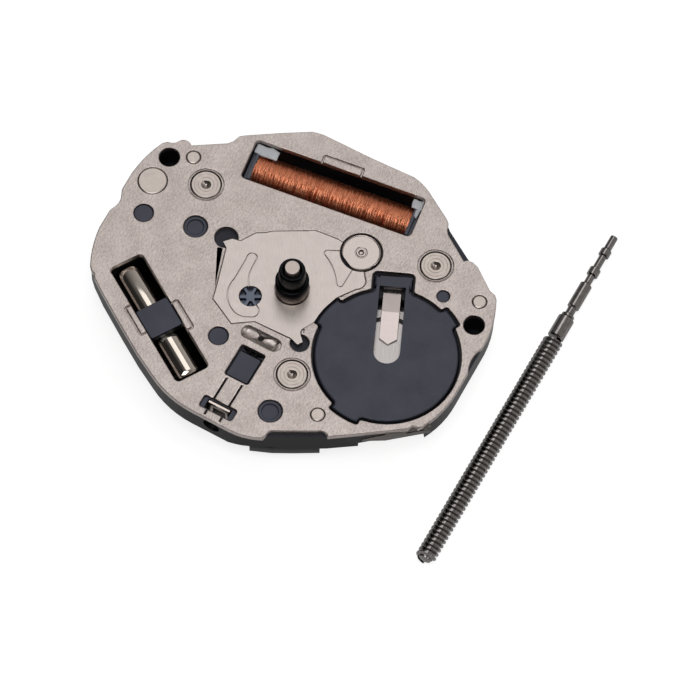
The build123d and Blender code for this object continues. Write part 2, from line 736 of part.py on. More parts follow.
# Base plate: the black moulded body that carries everything
with BuildPart() as base_plate:
    outlined(base_start_share, base_shares, -rim_depth, plate_bottom)
    outlined(base_start_share, base_shares, cover_top, -rim_depth, grow=-lower_body_inset)
    side_block(side_room_start, side_room_end, cup_diameter / 2, outline_reach, -rim_depth, plate_bottom,
               mode=Mode.SUBTRACT)
    side_block(-outline_reach / 5, outline_reach / 5, side_room_reach, outline_reach, cover_top, -rim_depth,
               mode=Mode.SUBTRACT)
    disc(battery_axis, -rim_depth, plate_bottom, cup_diameter / 2)
    cup_outline(plate_bottom, -cup_top_depth)
    # the pad over the clutch, the ends of the cross slot and the moulded pegs show in the plate's holes
    block(((pad_start + pad_end) / 2, stem_y), plate_bottom, pad_top, pad_end - pad_start, pad_width, 0,
          corner_radius / 2)
    block((cross_slot_x, stem_y), plate_bottom, -guard_thickness, cross_slot_length - 2 * seat_gap,
          cross_slot_width - 2 * seat_gap, 0, corner_radius)
    for share in peg_shares:
        disc(place(share), plate_bottom, -coin_depth, peg_diameter / 2 - press_gap)
    for share in small_peg_shares:
        disc(place(share), plate_bottom, -coin_depth, small_peg_diameter / 2 - press_gap)
    for share in dish_shares:
        disc(place(share), plate_bottom, -coin_depth, dish_diameter / 2 - press_gap)
        disc(place(share), -2 * coin_depth, -coin_depth, dish_diameter / 3, mode=Mode.SUBTRACT)
    # board pocket, then the wall round the battery, then the battery's own room
    outlined(base_start_share, base_shares, cover_top, bridge_bottom, grow=-board_pocket_inset, mode=Mode.SUBTRACT)
    disc(battery_axis, cover_top, -rim_depth, (battery_diameter + cup_wall) / 2)
    side_block(-outline_reach / 5, outline_reach / 5, side_room_reach, outline_reach, cover_top, -rim_depth,
               mode=Mode.SUBTRACT)
    disc(battery_axis, cover_top, cup_floor_bottom, battery_diameter / 2 + running_gap, mode=Mode.SUBTRACT)
    cup_slot(cup_floor_bottom, 0)
    side_block(-side_contact_finger - air_gap, side_contact_finger + air_gap, battery_diameter / 3,
               cup_diameter / 2 + cup_wall, -side_contact_bottom - air_gap, -side_contact_slot_depth,
               mode=Mode.SUBTRACT)
    # negative contact: a flat room under the floor and a shaft down to the board
    leaf_room = polar(battery_axis, (leaf_tail_reach + battery_diameter / 2) / 2, slot_direction)
    block(leaf_room, cup_floor_bottom - leaf_thickness - air_gap, cup_floor_bottom,
          leaf_tail_reach - battery_diameter / 2 + 2 * corner_radius, leaf_room_width, slot_direction,
          mode=Mode.SUBTRACT)
    block(leaf_tail, cover_top, cup_floor_bottom, 2 * corner_radius, leaf_room_width, slot_direction,
          mode=Mode.SUBTRACT)
    # coil and crystal rooms go right through
    block(coil_middle, cover_top, plate_bottom, coil_window_length, coil_room_width, coil_direction,
          corner_radius, mode=Mode.SUBTRACT)
    block(crystal_middle, cover_top, plate_bottom, crystal_room_length, crystal_room_width, crystal_direction,
          corner_radius, mode=Mode.SUBTRACT)
    strap_low = -crystal_axis_depth + crystal_diameter / 2 + running_gap
    block(crystal_middle, strap_low, plate_bottom, strap_length, crystal_room_width + running_gap, crystal_direction)
    block(crystal_middle, plate_bottom, -coin_depth, strap_length, crystal_window_width - coin_depth,
          crystal_direction, corner_radius)
    lead_room = polar(crystal_middle, -crystal_length / 2 - lead_run, crystal_direction)
    block(lead_room, cover_top, -crystal_axis_depth + crystal_lead_spacing, 4 * crystal_lead_diameter,
          2 * crystal_lead_spacing, crystal_direction, mode=Mode.SUBTRACT)
    for end, ear in zip(coil_ends, coil_ears):
        way = heading(end, ear)
        middle = polar(end, apart(end, ear) / 2, way)
        block(middle, cover_top, core_top + air_gap, apart(end, ear), core_ear_diameter + 2 * air_gap, way,
              mode=Mode.SUBTRACT)
        disc(ear, -stator_depth - stator_thickness, core_top + air_gap, core_ear_diameter / 2 + air_gap,
             mode=Mode.SUBTRACT)
    # motion works under the guard
    disc(hand_axis, motion_floor, plate_bottom, tip_radius(cannon_teeth, fast_module) + air_gap, mode=Mode.SUBTRACT)
    disc(minute_axis, motion_floor, plate_bottom, minute_recess_radius, mode=Mode.SUBTRACT)
    disc(setting_axis, motion_floor, plate_bottom, setting_recess_radius, mode=Mode.SUBTRACT)
    disc(minute_axis, -train_ceiling, motion_floor, minute_pivot_radius + running_gap, mode=Mode.SUBTRACT)
    disc(hand_axis, -train_ceiling, motion_floor, centre_arbor_radius + running_gap, mode=Mode.SUBTRACT)
    # train rooms, open to the back
    disc(hand_axis, cover_top, -train_ceiling, centre_room_radius, mode=Mode.SUBTRACT)
    disc(second_axis, cover_top, -train_ceiling, second_room_radius, mode=Mode.SUBTRACT)
    disc(first_axis, cover_top, -magnet_depth + air_gap, first_room_radius, mode=Mode.SUBTRACT)
    disc(first_axis, cover_top, -train_ceiling, tip_radius(train_pinion_leaves, second_module) + air_gap,
         mode=Mode.SUBTRACT)
    disc(rotor_axis, cover_top, -magnet_depth + air_gap, stator_lobe_diameter / 2 + air_gap, mode=Mode.SUBTRACT)
    disc(rotor_axis, -stator_depth, plate_bottom, arbor_radius + air_gap, mode=Mode.SUBTRACT)
    sheet(stator_shares, cover_top, -stator_depth, grow=air_gap, mode=Mode.SUBTRACT)
    sheet(bridge_shares, cover_top, -bridge_depth, grow=air_gap, mode=Mode.SUBTRACT)
    for axis in (first_axis, second_axis):
        disc(axis, -train_ceiling, -train_ceiling + pivot_length + air_gap, pivot_radius + running_gap,
             mode=Mode.SUBTRACT)
    # stem bores and the clutch's room
    stem_line(cross_slot_x, outline_reach, stem_bore_diameter / 2, mode=Mode.SUBTRACT)
    stem_line(pad_end - cut_overrun, cross_slot_x, stem_guide_bore / 2, mode=Mode.SUBTRACT)
    stem_line(clutch_room_start, clutch_room_end, clutch_room_radius, mode=Mode.SUBTRACT)
    stem_line(setting_axis[0] - cut_overrun, setting_axis[0] + running_gap, stem_pivot_bore / 2, mode=Mode.SUBTRACT)
    block(((clutch_room_start + clutch_room_end) / 2, stem_y), cover_top, stem_z, clutch_room_end - clutch_room_start,
          2 * clutch_room_radius, mode=Mode.SUBTRACT)
    block(((clutch_room_start + pad_start) / 2, stem_y), stem_z, plate_bottom, pad_start - clutch_room_start,
          2 * clutch_room_radius, mode=Mode.SUBTRACT)
    # setting lever, yoke and their spring
    block((cross_slot_x, stem_y), cover_top, -guard_thickness, cross_slot_length - 4 * seat_gap,
          lug_width + 4 * seat_gap, mode=Mode.SUBTRACT)
    block((cross_slot_x, stem_y), cover_top, plate_bottom, cross_slot_length - seat_gap,
          lug_width + 4 * seat_gap, mode=Mode.SUBTRACT)
    sheet(lever_shares, cover_top, works_ceiling, grow=3 * corner_radius, mode=Mode.SUBTRACT)
    sheet(yoke_shares, cover_top, works_ceiling, grow=2 * corner_radius, mode=Mode.SUBTRACT)
    sheet(spring_shares, cover_top, spring_top + seat_gap, grow=corner_radius, mode=Mode.SUBTRACT)
    block((finger_x - corner_radius / 2, stem_y - clutch_room_radius), cover_top, stem_z + finger_reach,
          4 * corner_radius, 3 * corner_radius, mode=Mode.SUBTRACT)
    for axis in (lever_axis, yoke_axis):
        disc(axis, -2 * train_ceiling, works_ceiling, hub_diameter / 2 + corner_radius, mode=Mode.SUBTRACT)
        disc(axis, -train_ceiling, -train_ceiling - cut_overrun, post_diameter / 2 + press_gap, mode=Mode.SUBTRACT)
    # seats of the dial feet, tubes and pins
    for centre in foot_holes:
        disc(centre, -foot_hole_depth, plate_bottom, foot_hole_diameter / 2, mode=Mode.SUBTRACT)
    for centre in tube_axes:
        disc(centre, -bridge_depth, plate_bottom, tube_diameter / 2 + press_gap, mode=Mode.SUBTRACT)
        disc(centre, cover_top, -bridge_depth, screw_head_diameter / 2 + air_gap, mode=Mode.SUBTRACT)
    for centre in pin_axes:
        disc(centre, -pin_length, plate_bottom, pin_diameter / 2 + press_gap, mode=Mode.SUBTRACT)
    disc((rivet_x, rivet_y), -pin_length, plate_bottom, pin_diameter / 2 + press_gap, mode=Mode.SUBTRACT)
base_plate.part.label = "base_plate"
export_step(base_plate.part, "parts/base_plate.step")

# Motion guard: the thin sheet over the motion works, with the hand hole and two hooks
star_field_shares = ((0.085, -0.166), [
    [(0.041, -0.193), (-0.013, -0.204)], [(-0.058, -0.206)], [(-0.073, -0.233), (-0.038, -0.251)], [(0.076, -0.248)],
    [(0.171, -0.232), (0.221, -0.170)], [(0.223, -0.128), (0.208, -0.095)], [(0.186, -0.072), (0.163, -0.074)],
    [(0.150, -0.084), (0.140, -0.110)]])
bearing_field_shares = ((-0.276, 0.105), [
    [(-0.247, 0.048)], [(-0.232, 0.034), (-0.217, 0.040)], [(-0.188, 0.091), (-0.146, 0.134)], [(-0.122, 0.154)],
    [(-0.111, 0.172), (-0.126, 0.187)], [(-0.225, 0.187)]])
with BuildPart() as motion_guard:
    outlined(guard_start_share, guard_shares, guard_bottom, 0)
    # engraved outlines of the field round the star-shaped hole, and of the one beside the rotor's bearing
    for start_share, step_shares in (star_field_shares, bearing_field_shares):
        outlined(start_share, step_shares, -emboss_depth, 0, mode=Mode.SUBTRACT)
        outlined(start_share, step_shares, -emboss_depth, 0, grow=-guard_groove_width, kind=Kind.ARC)
    disc(rotor_axis, guard_bottom, 0, rotor_bearing_diameter / 2 + air_gap, mode=Mode.SUBTRACT)
    disc(hand_axis, guard_bottom, 0, hour_flange_diameter / 2 + seat_gap, mode=Mode.SUBTRACT)
    disc(minute_axis, guard_bottom, 0, star_hole_diameter / 2, mode=Mode.SUBTRACT)
motion_guard.part.label = "motion_guard"
export_step(motion_guard.part, "parts/motion_guard.step")

# Hour wheel: toothed disc, flange and the tube that carries the hour hand
with BuildPart() as hour_wheel:
    hour_phase = meshed_phase(0, minute_pinion_leaves, heading(minute_axis, hand_axis), hour_wheel_teeth)
    gear(hand_axis, hour_wheel_bottom, hour_wheel_top, hour_wheel_teeth, slow_module, hour_phase)
    disc(hand_axis, hour_wheel_top, hour_flange_top, hour_flange_diameter / 2)
    disc(hand_axis, hour_flange_top, hour_tube_top, hour_tube_diameter / 2)
    disc(hand_axis, hour_wheel_bottom, hour_tube_top, cannon_pipe_diameter / 2 + running_gap, mode=Mode.SUBTRACT)
hour_wheel.part.label = "hour_wheel"
export_step(hour_wheel.part, "parts/hour_wheel.step")

# Minute pinion: leaves, the tapered pipe that carries the minute hand, and the arbor down to the bridge
cannon_top = hour_wheel_bottom - motion_gap + running_gap
cannon_bottom = minute_wheel_bottom - running_gap
with BuildPart() as minute_pinion:
    gear(hand_axis, cannon_bottom, cannon_top, cannon_teeth, fast_module, 0)
    with Locations((0, 0, (cannon_top + minute_seat_bottom) / 2)):
        Cone(cannon_pipe_diameter / 2, minute_seat_diameter / 2, minute_seat_bottom - cannon_top)
    disc(hand_axis, minute_seat_bottom, minute_top, minute_seat_diameter / 2)
    disc(hand_axis, -bridge_depth + running_gap, cannon_bottom, centre_arbor_radius)
    disc(hand_axis, -bridge_depth - pivot_length, -bridge_depth + running_gap, centre_seat_radius)
minute_pinion.part.label = "minute_pinion"
export_step(minute_pinion.part, "parts/minute_pinion.step")

# Minute wheel with its leaves, seen through the hole in the guard
minute_phase = meshed_phase(0, cannon_teeth, minute_wheel_direction, minute_wheel_teeth)
with BuildPart() as minute_wheel:
    gear(minute_axis, minute_wheel_bottom, minute_wheel_top, minute_wheel_teeth, fast_module, minute_phase)
    gear(minute_axis, minute_wheel_top, -coin_depth, minute_pinion_leaves, slow_module, 0)
    disc(minute_axis, minute_wheel_bottom - minute_pivot_length, minute_wheel_bottom, minute_pivot_radius)
minute_wheel.part.label = "minute_wheel"
export_step(minute_wheel.part, "parts/minute_wheel.step")

# Setting wheel between the clutch and the minute wheel
setting_phase = meshed_phase(minute_phase, minute_wheel_teeth, heading(minute_axis, setting_axis), setting_wheel_teeth)
with BuildPart() as setting_wheel:
    gear(setting_axis, minute_wheel_bottom, minute_wheel_top, setting_wheel_teeth, fast_module, setting_phase)
    disc(setting_axis, motion_floor + press_gap, -coin_depth - running_gap, setting_arbor_radius)
setting_wheel.part.label = "setting_wheel"
export_step(setting_wheel.part, "parts/setting_wheel.step")

# Centre wheel, on the minute pinion's arbor
with BuildPart() as center_wheel:
    centre_phase = meshed_phase(0, train_pinion_leaves, heading(second_axis, hand_axis), centre_wheel_teeth)
    gear(hand_axis, -centre_wheel_depth - train_wheel_thickness, -centre_wheel_depth, centre_wheel_teeth,
         third_module, centre_phase)
    disc(hand_axis, -centre_wheel_depth - train_wheel_thickness, -centre_wheel_depth,
         centre_arbor_radius + press_gap, mode=Mode.SUBTRACT)
center_wheel.part.label = "center_wheel"
export_step(center_wheel.part, "parts/center_wheel.step")


def train_member(axis, wheel_depth, wheel_teeth, wheel_module, wheel_phase, pinion_high, pinion_low, pinion_module):
    """An arbor with a wheel and a pinion, its pivots in the base and the bridge."""
    gear(axis, -wheel_depth - train_wheel_thickness, -wheel_depth, wheel_teeth, wheel_module, wheel_phase)
    gear(axis, pinion_low, pinion_high, train_pinion_leaves, pinion_module, 0)
    disc(axis, -bridge_depth + running_gap, -train_ceiling - running_gap, arbor_radius)
    disc(axis, -bridge_depth - pivot_length, -train_ceiling + pivot_length, pivot_radius)


# Third wheel, which drives the centre wheel
with BuildPart() as third_wheel:
    second_phase = meshed_phase(0, train_pinion_leaves, heading(first_axis, second_axis), train_wheel_teeth)
    train_member(second_axis, second_wheel_depth, train_wheel_teeth, second_module, second_phase,
                 -centre_wheel_depth + pinion_overlap / 3, -second_wheel_depth + running_gap, third_module)
third_wheel.part.label = "third_wheel"
export_step(third_wheel.part, "parts/third_wheel.step")

# Intermediate wheel, driven by the rotor
with BuildPart() as intermediate_wheel:
    first_phase = meshed_phase(0, train_pinion_leaves, first_mesh_direction, train_wheel_teeth)
    train_member(first_axis, first_wheel_depth, train_wheel_teeth, first_module, first_phase,
                 -second_wheel_depth + pinion_overlap, -first_wheel_depth + pinion_overlap, second_module)
intermediate_wheel.part.label = "intermediate_wheel"
export_step(intermediate_wheel.part, "parts/intermediate_wheel.step")

# Rotor: arbor with its pinion, and the magnet ring
rotor_pinion_top = -rotor_pinion_top_depth
with BuildPart() as rotor_arbor:
    gear(rotor_axis, rotor_pinion_top - rotor_pinion_height, rotor_pinion_top, train_pinion_leaves, first_module, 0)
    disc(rotor_axis, -bridge_depth + running_gap, plate_bottom - running_gap, arbor_radius)
    disc(rotor_axis, -bridge_depth - pivot_length, -coin_depth, rotor_pivot_radius)
rotor_arbor.part.label = "rotor_arbor"
export_step(rotor_arbor.part, "parts/rotor_arbor.step")

with BuildPart() as rotor_magnet:
    disc(rotor_axis, -magnet_depth - magnet_thickness, -magnet_depth, magnet_diameter / 2)
    disc(rotor_axis, -magnet_depth - magnet_thickness, -magnet_depth, arbor_radius + press_gap, mode=Mode.SUBTRACT)
rotor_magnet.part.label = "rotor_magnet"
export_step(rotor_magnet.part, "parts/rotor_magnet.step")

# Rotor bearing: the round brass-coloured disc seen beside the coil
with BuildPart() as rotor_bearing:
    disc(rotor_axis, plate_bottom, -emboss_depth, rotor_bearing_diameter / 2)
    disc(rotor_axis, -emboss_depth, 0, rotor_hub_ring_diameter / 2)
    disc(rotor_axis, -guard_thickness, 0, rotor_hub_hole_diameter / 2, mode=Mode.SUBTRACT)
    disc(rotor_axis, plate_bottom, 0, rotor_pivot_radius + running_gap, mode=Mode.SUBTRACT)
rotor_bearing.part.label = "rotor_bearing"
export_step(rotor_bearing.part, "parts/rotor_bearing.step")

# Stator: the flat iron sheet round the rotor, screwed down with the coil's core
with BuildPart() as stator:
    sheet(stator_shares, -stator_depth - stator_thickness, -stator_depth)
    disc(rotor_axis, -stator_depth - stator_thickness, -stator_depth, stator_lobe_diameter / 2)
    for ear in coil_ears:
        disc(ear, -stator_depth - stator_thickness, -stator_depth, stator_ear_diameter / 2)
        disc(ear, -stator_depth - stator_thickness, -stator_depth, tube_diameter / 2 + running_gap, mode=Mode.SUBTRACT)
    disc(rotor_axis, -stator_depth - stator_thickness, -stator_depth, stator_hole_diameter / 2, mode=Mode.SUBTRACT)
stator.part.label = "stator"
export_step(stator.part, "parts/stator.step")

# Coil core: a flat iron bar with an ear at each end
with BuildPart() as coil_core:
    core_bottom = core_top - core_thickness
    block(coil_middle, core_bottom, core_top, coil_length + 2 * corner_radius, core_width, coil_direction)
    for end, ear in zip(coil_ends, coil_ears):
        way = heading(end, ear)
        block(polar(end, apart(end, ear) / 2, way), core_bottom, core_top, apart(end, ear), core_width, way)
        disc(end, core_bottom, core_top, core_width / 2)
        disc(ear, core_bottom, core_top, core_ear_diameter / 2)
    for ear in coil_ears:
        disc(ear, core_bottom, core_top, tube_diameter / 2 + running_gap, mode=Mode.SUBTRACT)
coil_core.part.label = "coil_core"
export_step(coil_core.part, "parts/coil_core.step")

# Coil bobbin: a thin moulded tube with square flanges round the core
coil_axis_z = -coil_axis_depth
winding_length = coil_length - 2 * coil_flange_thickness
bobbin_width = core_width + 2 * coil_tube_wall
bobbin_height = core_thickness + 2 * coil_tube_wall
flange_low = coil_axis_z - coil_flange_size / 2
flange_high = coil_axis_z + coil_flange_size / 2
with BuildPart() as coil_bobbin:
    block(coil_middle, coil_axis_z - bobbin_height / 2, coil_axis_z + bobbin_height / 2, coil_length, bobbin_width,
          coil_direction)
    for side in (-1, 1):
        middle = polar(coil_middle, side * (coil_length - coil_flange_thickness) / 2, coil_direction)
        block(middle, flange_low, flange_high, coil_flange_thickness, coil_flange_size, coil_direction)
    block(coil_middle, core_bottom - press_gap, core_top + press_gap, coil_length, core_width + 2 * press_gap,
          coil_direction, mode=Mode.SUBTRACT)
coil_bobbin.part.label = "coil_bobbin"
export_step(coil_bobbin.part, "parts/coil_bobbin.step")

# Coil winding: the inner layers are a plain drum, and one wire winds over it
drum_radius = coil_diameter / 2 - coil_wire_diameter
along = Vector(cos(radians(coil_direction)), sin(radians(coil_direction)), 0)
across = Vector(-along.Y, along.X, 0)
upright = Vector(0, 0, 1)
coil_centre = Vector(coil_x, coil_y, coil_axis_z)
with BuildPart() as coil_winding:
    rod(tuple(coil_centre - along * (winding_length / 2 - running_gap)),
        tuple(coil_centre + along * (winding_length / 2 - running_gap)), drum_radius)
    block(coil_middle, coil_axis_z - bobbin_height / 2 - press_gap, coil_axis_z + bobbin_height / 2 + press_gap,
          coil_length, bobbin_width + 2 * press_gap, coil_direction, mode=Mode.SUBTRACT)
coil_winding.part.label = "coil_winding"
export_step(coil_winding.part, "parts/coil_winding.step")

wire_loops = 11
quarters = 4 * wire_loops
wire_radius = coil_wire_diameter / 2
wire_reach = drum_radius + wire_radius + press_gap


def wire_point(turns):
    """A point of the outer turns' helix, after a number of turns from its middle."""
    angle = 2 * pi * turns
    return coil_centre + along * (turns * coil_pitch) + (across * cos(angle) + upright * sin(angle)) * wire_reach


def wire_direction(turns):
    angle = 2 * pi * turns
    return ((upright * cos(angle) - across * sin(angle)) * (2 * pi * wire_reach) + along * coil_pitch).normalized()


def arc_middle(start, start_direction, end):
    """The middle point of the arc that leaves a point in a direction and ends at another."""
    chord = end - start
    lean = start_direction.get_angle(chord)
    side = (start_direction - chord * (start_direction.dot(chord) / chord.dot(chord))).normalized()
    return start + chord * 0.5 + side * (chord.length / 2 * tan(radians(lean / 2)))


wire_points = []
with BuildPart() as coil_wire:
    with BuildLine() as wire_path:
        first = wire_point(-wire_loops / 2)
        heading_in = wire_direction(-wire_loops / 2)
        Line(first - heading_in * coil_wire_diameter, first)
        for quarter in range(quarters):
            start_turn = quarter / 4 - wire_loops / 2
            end_turn = start_turn + 1 / 4
            start = wire_point(start_turn)
            end = wire_point(end_turn)
            leave = wire_direction(start_turn)
            arrive = wire_direction(end_turn)
            span = end - start
            both = leave + arrive
            bend = 2 * (1 - leave.dot(arrive))
            reach = (sqrt(span.dot(both)**2 + 2 * bend * span.dot(span)) - span.dot(both)) / bend
            middle = (start + end + (leave - arrive) * (reach / 2)) * 0.5
            start_arc = arc_middle(start, leave, middle)
            end_arc = arc_middle(end, arrive * -1, middle)
            ThreePointArc(start, start_arc, middle)
            ThreePointArc(middle, end_arc, end)
            wire_points.extend([start, start_arc, middle, end_arc])
        last = wire_point(wire_loops / 2)
        Line(last, last + wire_direction(wire_loops / 2) * coil_wire_diameter)
    with BuildSketch(Plane(origin=first - heading_in * coil_wire_diameter, z_dir=heading_in)):
        Circle(wire_radius)
    sweep(path=wire_path.wires()[0])
coil_wire.part.label = "coil_wire"
export_step(coil_wire.part, "parts/coil_wire.step")

points_per_loop = 4 * 4
least_gap = min(
    (wire_points[later] - wire_points[earlier]).length - coil_wire_diameter
    for earlier in range(len(wire_points))
    for later in range(earlier + points_per_loop * 3 // 4, len(wire_points))
)
print("coil wire: least gap to itself", round(least_gap, 3), "mm")

# Coil terminals: two solder tabs on the bobbin's flanges
terminal_length = 0.55
terminal_width = 0.30
with BuildPart() as coil_terminals:
    for side in (-1, 1):
        end = polar(coil_middle, side * (coil_length - coil_flange_thickness) / 2, coil_direction)
        tab = polar(end, (coil_flange_size - terminal_length) / 2, coil_direction + 90)
        block(tab, flange_high, flange_high + coin_depth, terminal_width, terminal_length, coil_direction)
coil_terminals.part.label = "coil_terminals"
export_step(coil_terminals.part, "parts/coil_terminals.step")


def crystal_place(along_axis, sideways=0):
    """A point at the crystal's height, along its axis from the middle and to its side."""
    spot = polar(polar(crystal_middle, along_axis, crystal_direction), sideways, crystal_direction + 90)
    return (spot[0], spot[1], -crystal_axis_depth)


# Crystal: a drawn can with a domed end, its header, two leads and the quartz fork inside
can_radius = crystal_diameter / 2
can_start = -crystal_length / 2
can_end = crystal_length / 2 - can_radius / 3
header_length = 0.60
fork_length = 3.40
fork_width = 1.00
fork_thickness = 0.14
fork_gap = 0.16
with BuildPart() as crystal_can:
    rod(crystal_place(can_start), crystal_place(can_end), can_radius)
    rod(crystal_place(can_end), crystal_place(can_end + can_radius / 6), can_radius - crystal_wall / 2)
    rod(crystal_place(can_end), crystal_place(crystal_length / 2), can_radius - 2 * crystal_wall)
    rod(crystal_place(can_start), crystal_place(can_end - crystal_wall), can_radius - crystal_wall, mode=Mode.SUBTRACT)
crystal_can.part.label = "crystal_can"
export_step(crystal_can.part, "parts/crystal_can.step")

lead_offsets = [-crystal_lead_spacing / 2, crystal_lead_spacing / 2]
header_end = can_start + header_length
with BuildPart() as crystal_header:
    rod(crystal_place(can_start), crystal_place(header_end), can_radius - crystal_wall - press_gap)
    for sideways in lead_offsets:
        rod(crystal_place(can_start, sideways), crystal_place(header_end, sideways),
            crystal_lead_diameter / 2 + press_gap, mode=Mode.SUBTRACT)
crystal_header.part.label = "crystal_header"
export_step(crystal_header.part, "parts/crystal_header.step")

with BuildPart() as crystal_leads:
    for sideways in lead_offsets:
        corner = crystal_place(can_start - lead_run, sideways)
        rod(crystal_place(header_end, sideways), corner, crystal_lead_diameter / 2)
        with Locations(corner):
            Sphere(crystal_lead_diameter / 2)
        rod((corner[0], corner[1], bridge_bottom - coin_depth), corner, crystal_lead_diameter / 2)
crystal_leads.part.label = "crystal_leads"
export_step(crystal_leads.part, "parts/crystal_leads.step")

with BuildPart() as crystal_fork:
    fork_middle = polar(crystal_middle, header_end + running_gap + fork_length / 2, crystal_direction)
    prongs_middle = polar(fork_middle, fork_length / 4, crystal_direction)
    fork_low = -crystal_axis_depth - fork_thickness / 2
    fork_high = -crystal_axis_depth + fork_thickness / 2
    block(fork_middle, fork_low, fork_high, fork_length, fork_width, crystal_direction)
    block(prongs_middle, fork_low, fork_high, fork_length / 2 + fork_gap, fork_gap, crystal_direction,
          mode=Mode.SUBTRACT)
crystal_fork.part.label = "crystal_fork"
export_step(crystal_fork.part, "parts/crystal_fork.step")

# Screw tubes, flush in the dial plate, and the screws that hold the bridge to them from the back
with BuildPart() as screw_tubes:
    for centre in tube_axes:
        disc(centre, plate_bottom, 0, tube_head_diameter / 2)
        disc(centre, -bridge_depth, plate_bottom, tube_diameter / 2)
        disc(centre, -coin_depth, 0, tube_dimple_diameter / 2, mode=Mode.SUBTRACT)
        disc(centre, -bridge_depth, -tube_thread_top_depth, tube_thread_diameter / 2, mode=Mode.SUBTRACT)
screw_tubes.part.label = "screw_tubes"
export_step(screw_tubes.part, "parts/screw_tubes.step")

screw_bottom = bridge_bottom - screw_head_height
with BuildPart() as bridge_screws:
    for centre in tube_axes:
        disc(centre, screw_bottom, bridge_bottom, screw_head_diameter / 2)
        disc(centre, bridge_bottom, -tube_thread_top_depth - air_gap, tube_thread_diameter / 2 - press_gap)
        block(centre, screw_bottom, screw_bottom + screw_head_height / 2, 2 * screw_head_diameter, screw_slot_width,
              crystal_direction, mode=Mode.SUBTRACT)
bridge_screws.part.label = "bridge_screws"
export_step(bridge_screws.part, "parts/bridge_screws.step")

# Rivet and locating pins between the plate and the base
with BuildPart() as plate_rivet:
    disc((rivet_x, rivet_y), plate_bottom, 0, rivet_diameter / 2)
    disc((rivet_x, rivet_y), -pin_length, plate_bottom, pin_diameter / 2)
plate_rivet.part.label = "plate_rivet"
export_step(plate_rivet.part, "parts/plate_rivet.step")

with BuildPart() as locating_pins:
    for centre in pin_axes:
        disc(centre, -pin_length, 0, pin_diameter / 2)
locating_pins.part.label = "locating_pins"
export_step(locating_pins.part, "parts/locating_pins.step")


def turned(centre, points):
    """A solid of revolution about an upright axis, from radii and levels."""
    with BuildSketch(Plane(origin=(centre[0], centre[1], 0), x_dir=(1, 0, 0), z_dir=(0, -1, 0))) as profile:
        with BuildLine():
            Polyline(*points, close=True)
        make_face()
    revolve(profile.sketch, axis=Axis((centre[0], centre[1], 0), (0, 0, 1)))


# Battery: the positive can, its seal and the negative cap, which faces the dial
can_top = -battery_cap_depth - battery_cap_rise
can_reach = battery_diameter / 2
cap_reach = battery_cap_diameter / 2
seal_width = 0.20
seal_depth = 0.35
crimp_width = 0.36
lip_reach = cap_reach + seal_width
crimp_reach = lip_reach + crimp_width
with BuildPart() as battery_can:
    turned(battery_axis, [
        (0, battery_bottom), (can_reach - can_corner, battery_bottom), (can_reach - can_corner / 4,
         battery_bottom + can_corner / 4), (can_reach, battery_bottom + can_corner), (can_reach, can_top - crimp_width),
        (can_reach - crimp_width / 4, can_top - crimp_width / 4), (crimp_reach, can_top), (lip_reach, can_top),
        (lip_reach, can_top - seal_depth), (can_reach - battery_shell, can_top - seal_depth - battery_shell),
        (can_reach - battery_shell, battery_bottom + battery_shell), (0, battery_bottom + battery_shell)])
battery_can.part.label = "battery_can"
export_step(battery_can.part, "parts/battery_can.step")

with BuildPart() as battery_seal:
    turned(battery_axis, [
        (cap_reach + press_gap, can_top - seal_depth), (lip_reach - press_gap, can_top - seal_depth),
        (lip_reach - press_gap, can_top + seat_gap), (cap_reach + press_gap, can_top + seat_gap)])
battery_seal.part.label = "battery_seal"
export_step(battery_seal.part, "parts/battery_seal.step")

cap_top = -battery_cap_depth
with BuildPart() as battery_cap:
    turned(battery_axis, [
        (0, cap_top), (cap_reach - corner_radius, cap_top), (cap_reach, cap_top - corner_radius),
        (cap_reach, can_top - seal_depth), (cap_reach - battery_shell, can_top - seal_depth),
        (cap_reach - battery_shell, cap_top - battery_shell), (0, cap_top - battery_shell)])
battery_cap.part.label = "battery_cap"
export_step(battery_cap.part, "parts/battery_cap.step")

# Negative contact: a springy leaf that comes out from under the floor and rests on the battery's cap
leaf_plane = Plane(
    origin=(battery_x, battery_y, 0),
    x_dir=(cos(radians(slot_direction)), sin(radians(slot_direction)), 0),
    z_dir=(sin(radians(slot_direction)), -cos(radians(slot_direction)), 0))
leaf_root_level = cup_floor_bottom - press_gap
leaf_bend_level = -0.20
leaf_tip_level = cap_top + leaf_thickness
with BuildPart() as negative_terminal:
    with BuildSketch(leaf_plane) as leaf_profile:
        with BuildLine():
            Polyline(
                (leaf_tip_reach, leaf_tip_level), (leaf_bend_reach, leaf_bend_level), (slot_reach, leaf_root_level),
                (leaf_tail_reach, leaf_root_level), (leaf_tail_reach, leaf_root_level - leaf_thickness),
                (slot_reach, leaf_root_level - leaf_thickness), (leaf_bend_reach, leaf_bend_level - leaf_thickness),
                (leaf_tip_reach, leaf_tip_level - leaf_thickness), close=True)
        make_face()
    extrude(leaf_profile.sketch, amount=leaf_width / 2, both=True)
    block(leaf_tail, bridge_bottom, leaf_root_level, leaf_thickness, leaf_width, slot_direction)
    # the pointed tip
    tip = polar(battery_axis, leaf_tip_reach, slot_direction)
    for side in (-1, 1):
        edge = polar(tip, side * leaf_width / 2, slot_direction + 90)
        back = polar(edge, leaf_point, slot_direction)
        front = polar(tip, -leaf_width, slot_direction)
        prism([tip, back, polar(back, side * leaf_width, slot_direction + 90),
               polar(front, side * leaf_width, slot_direction + 90), front], -cut_overrun, 0, mode=Mode.SUBTRACT)
negative_terminal.part.label = "negative_terminal"
export_step(negative_terminal.part, "parts/negative_terminal.step")

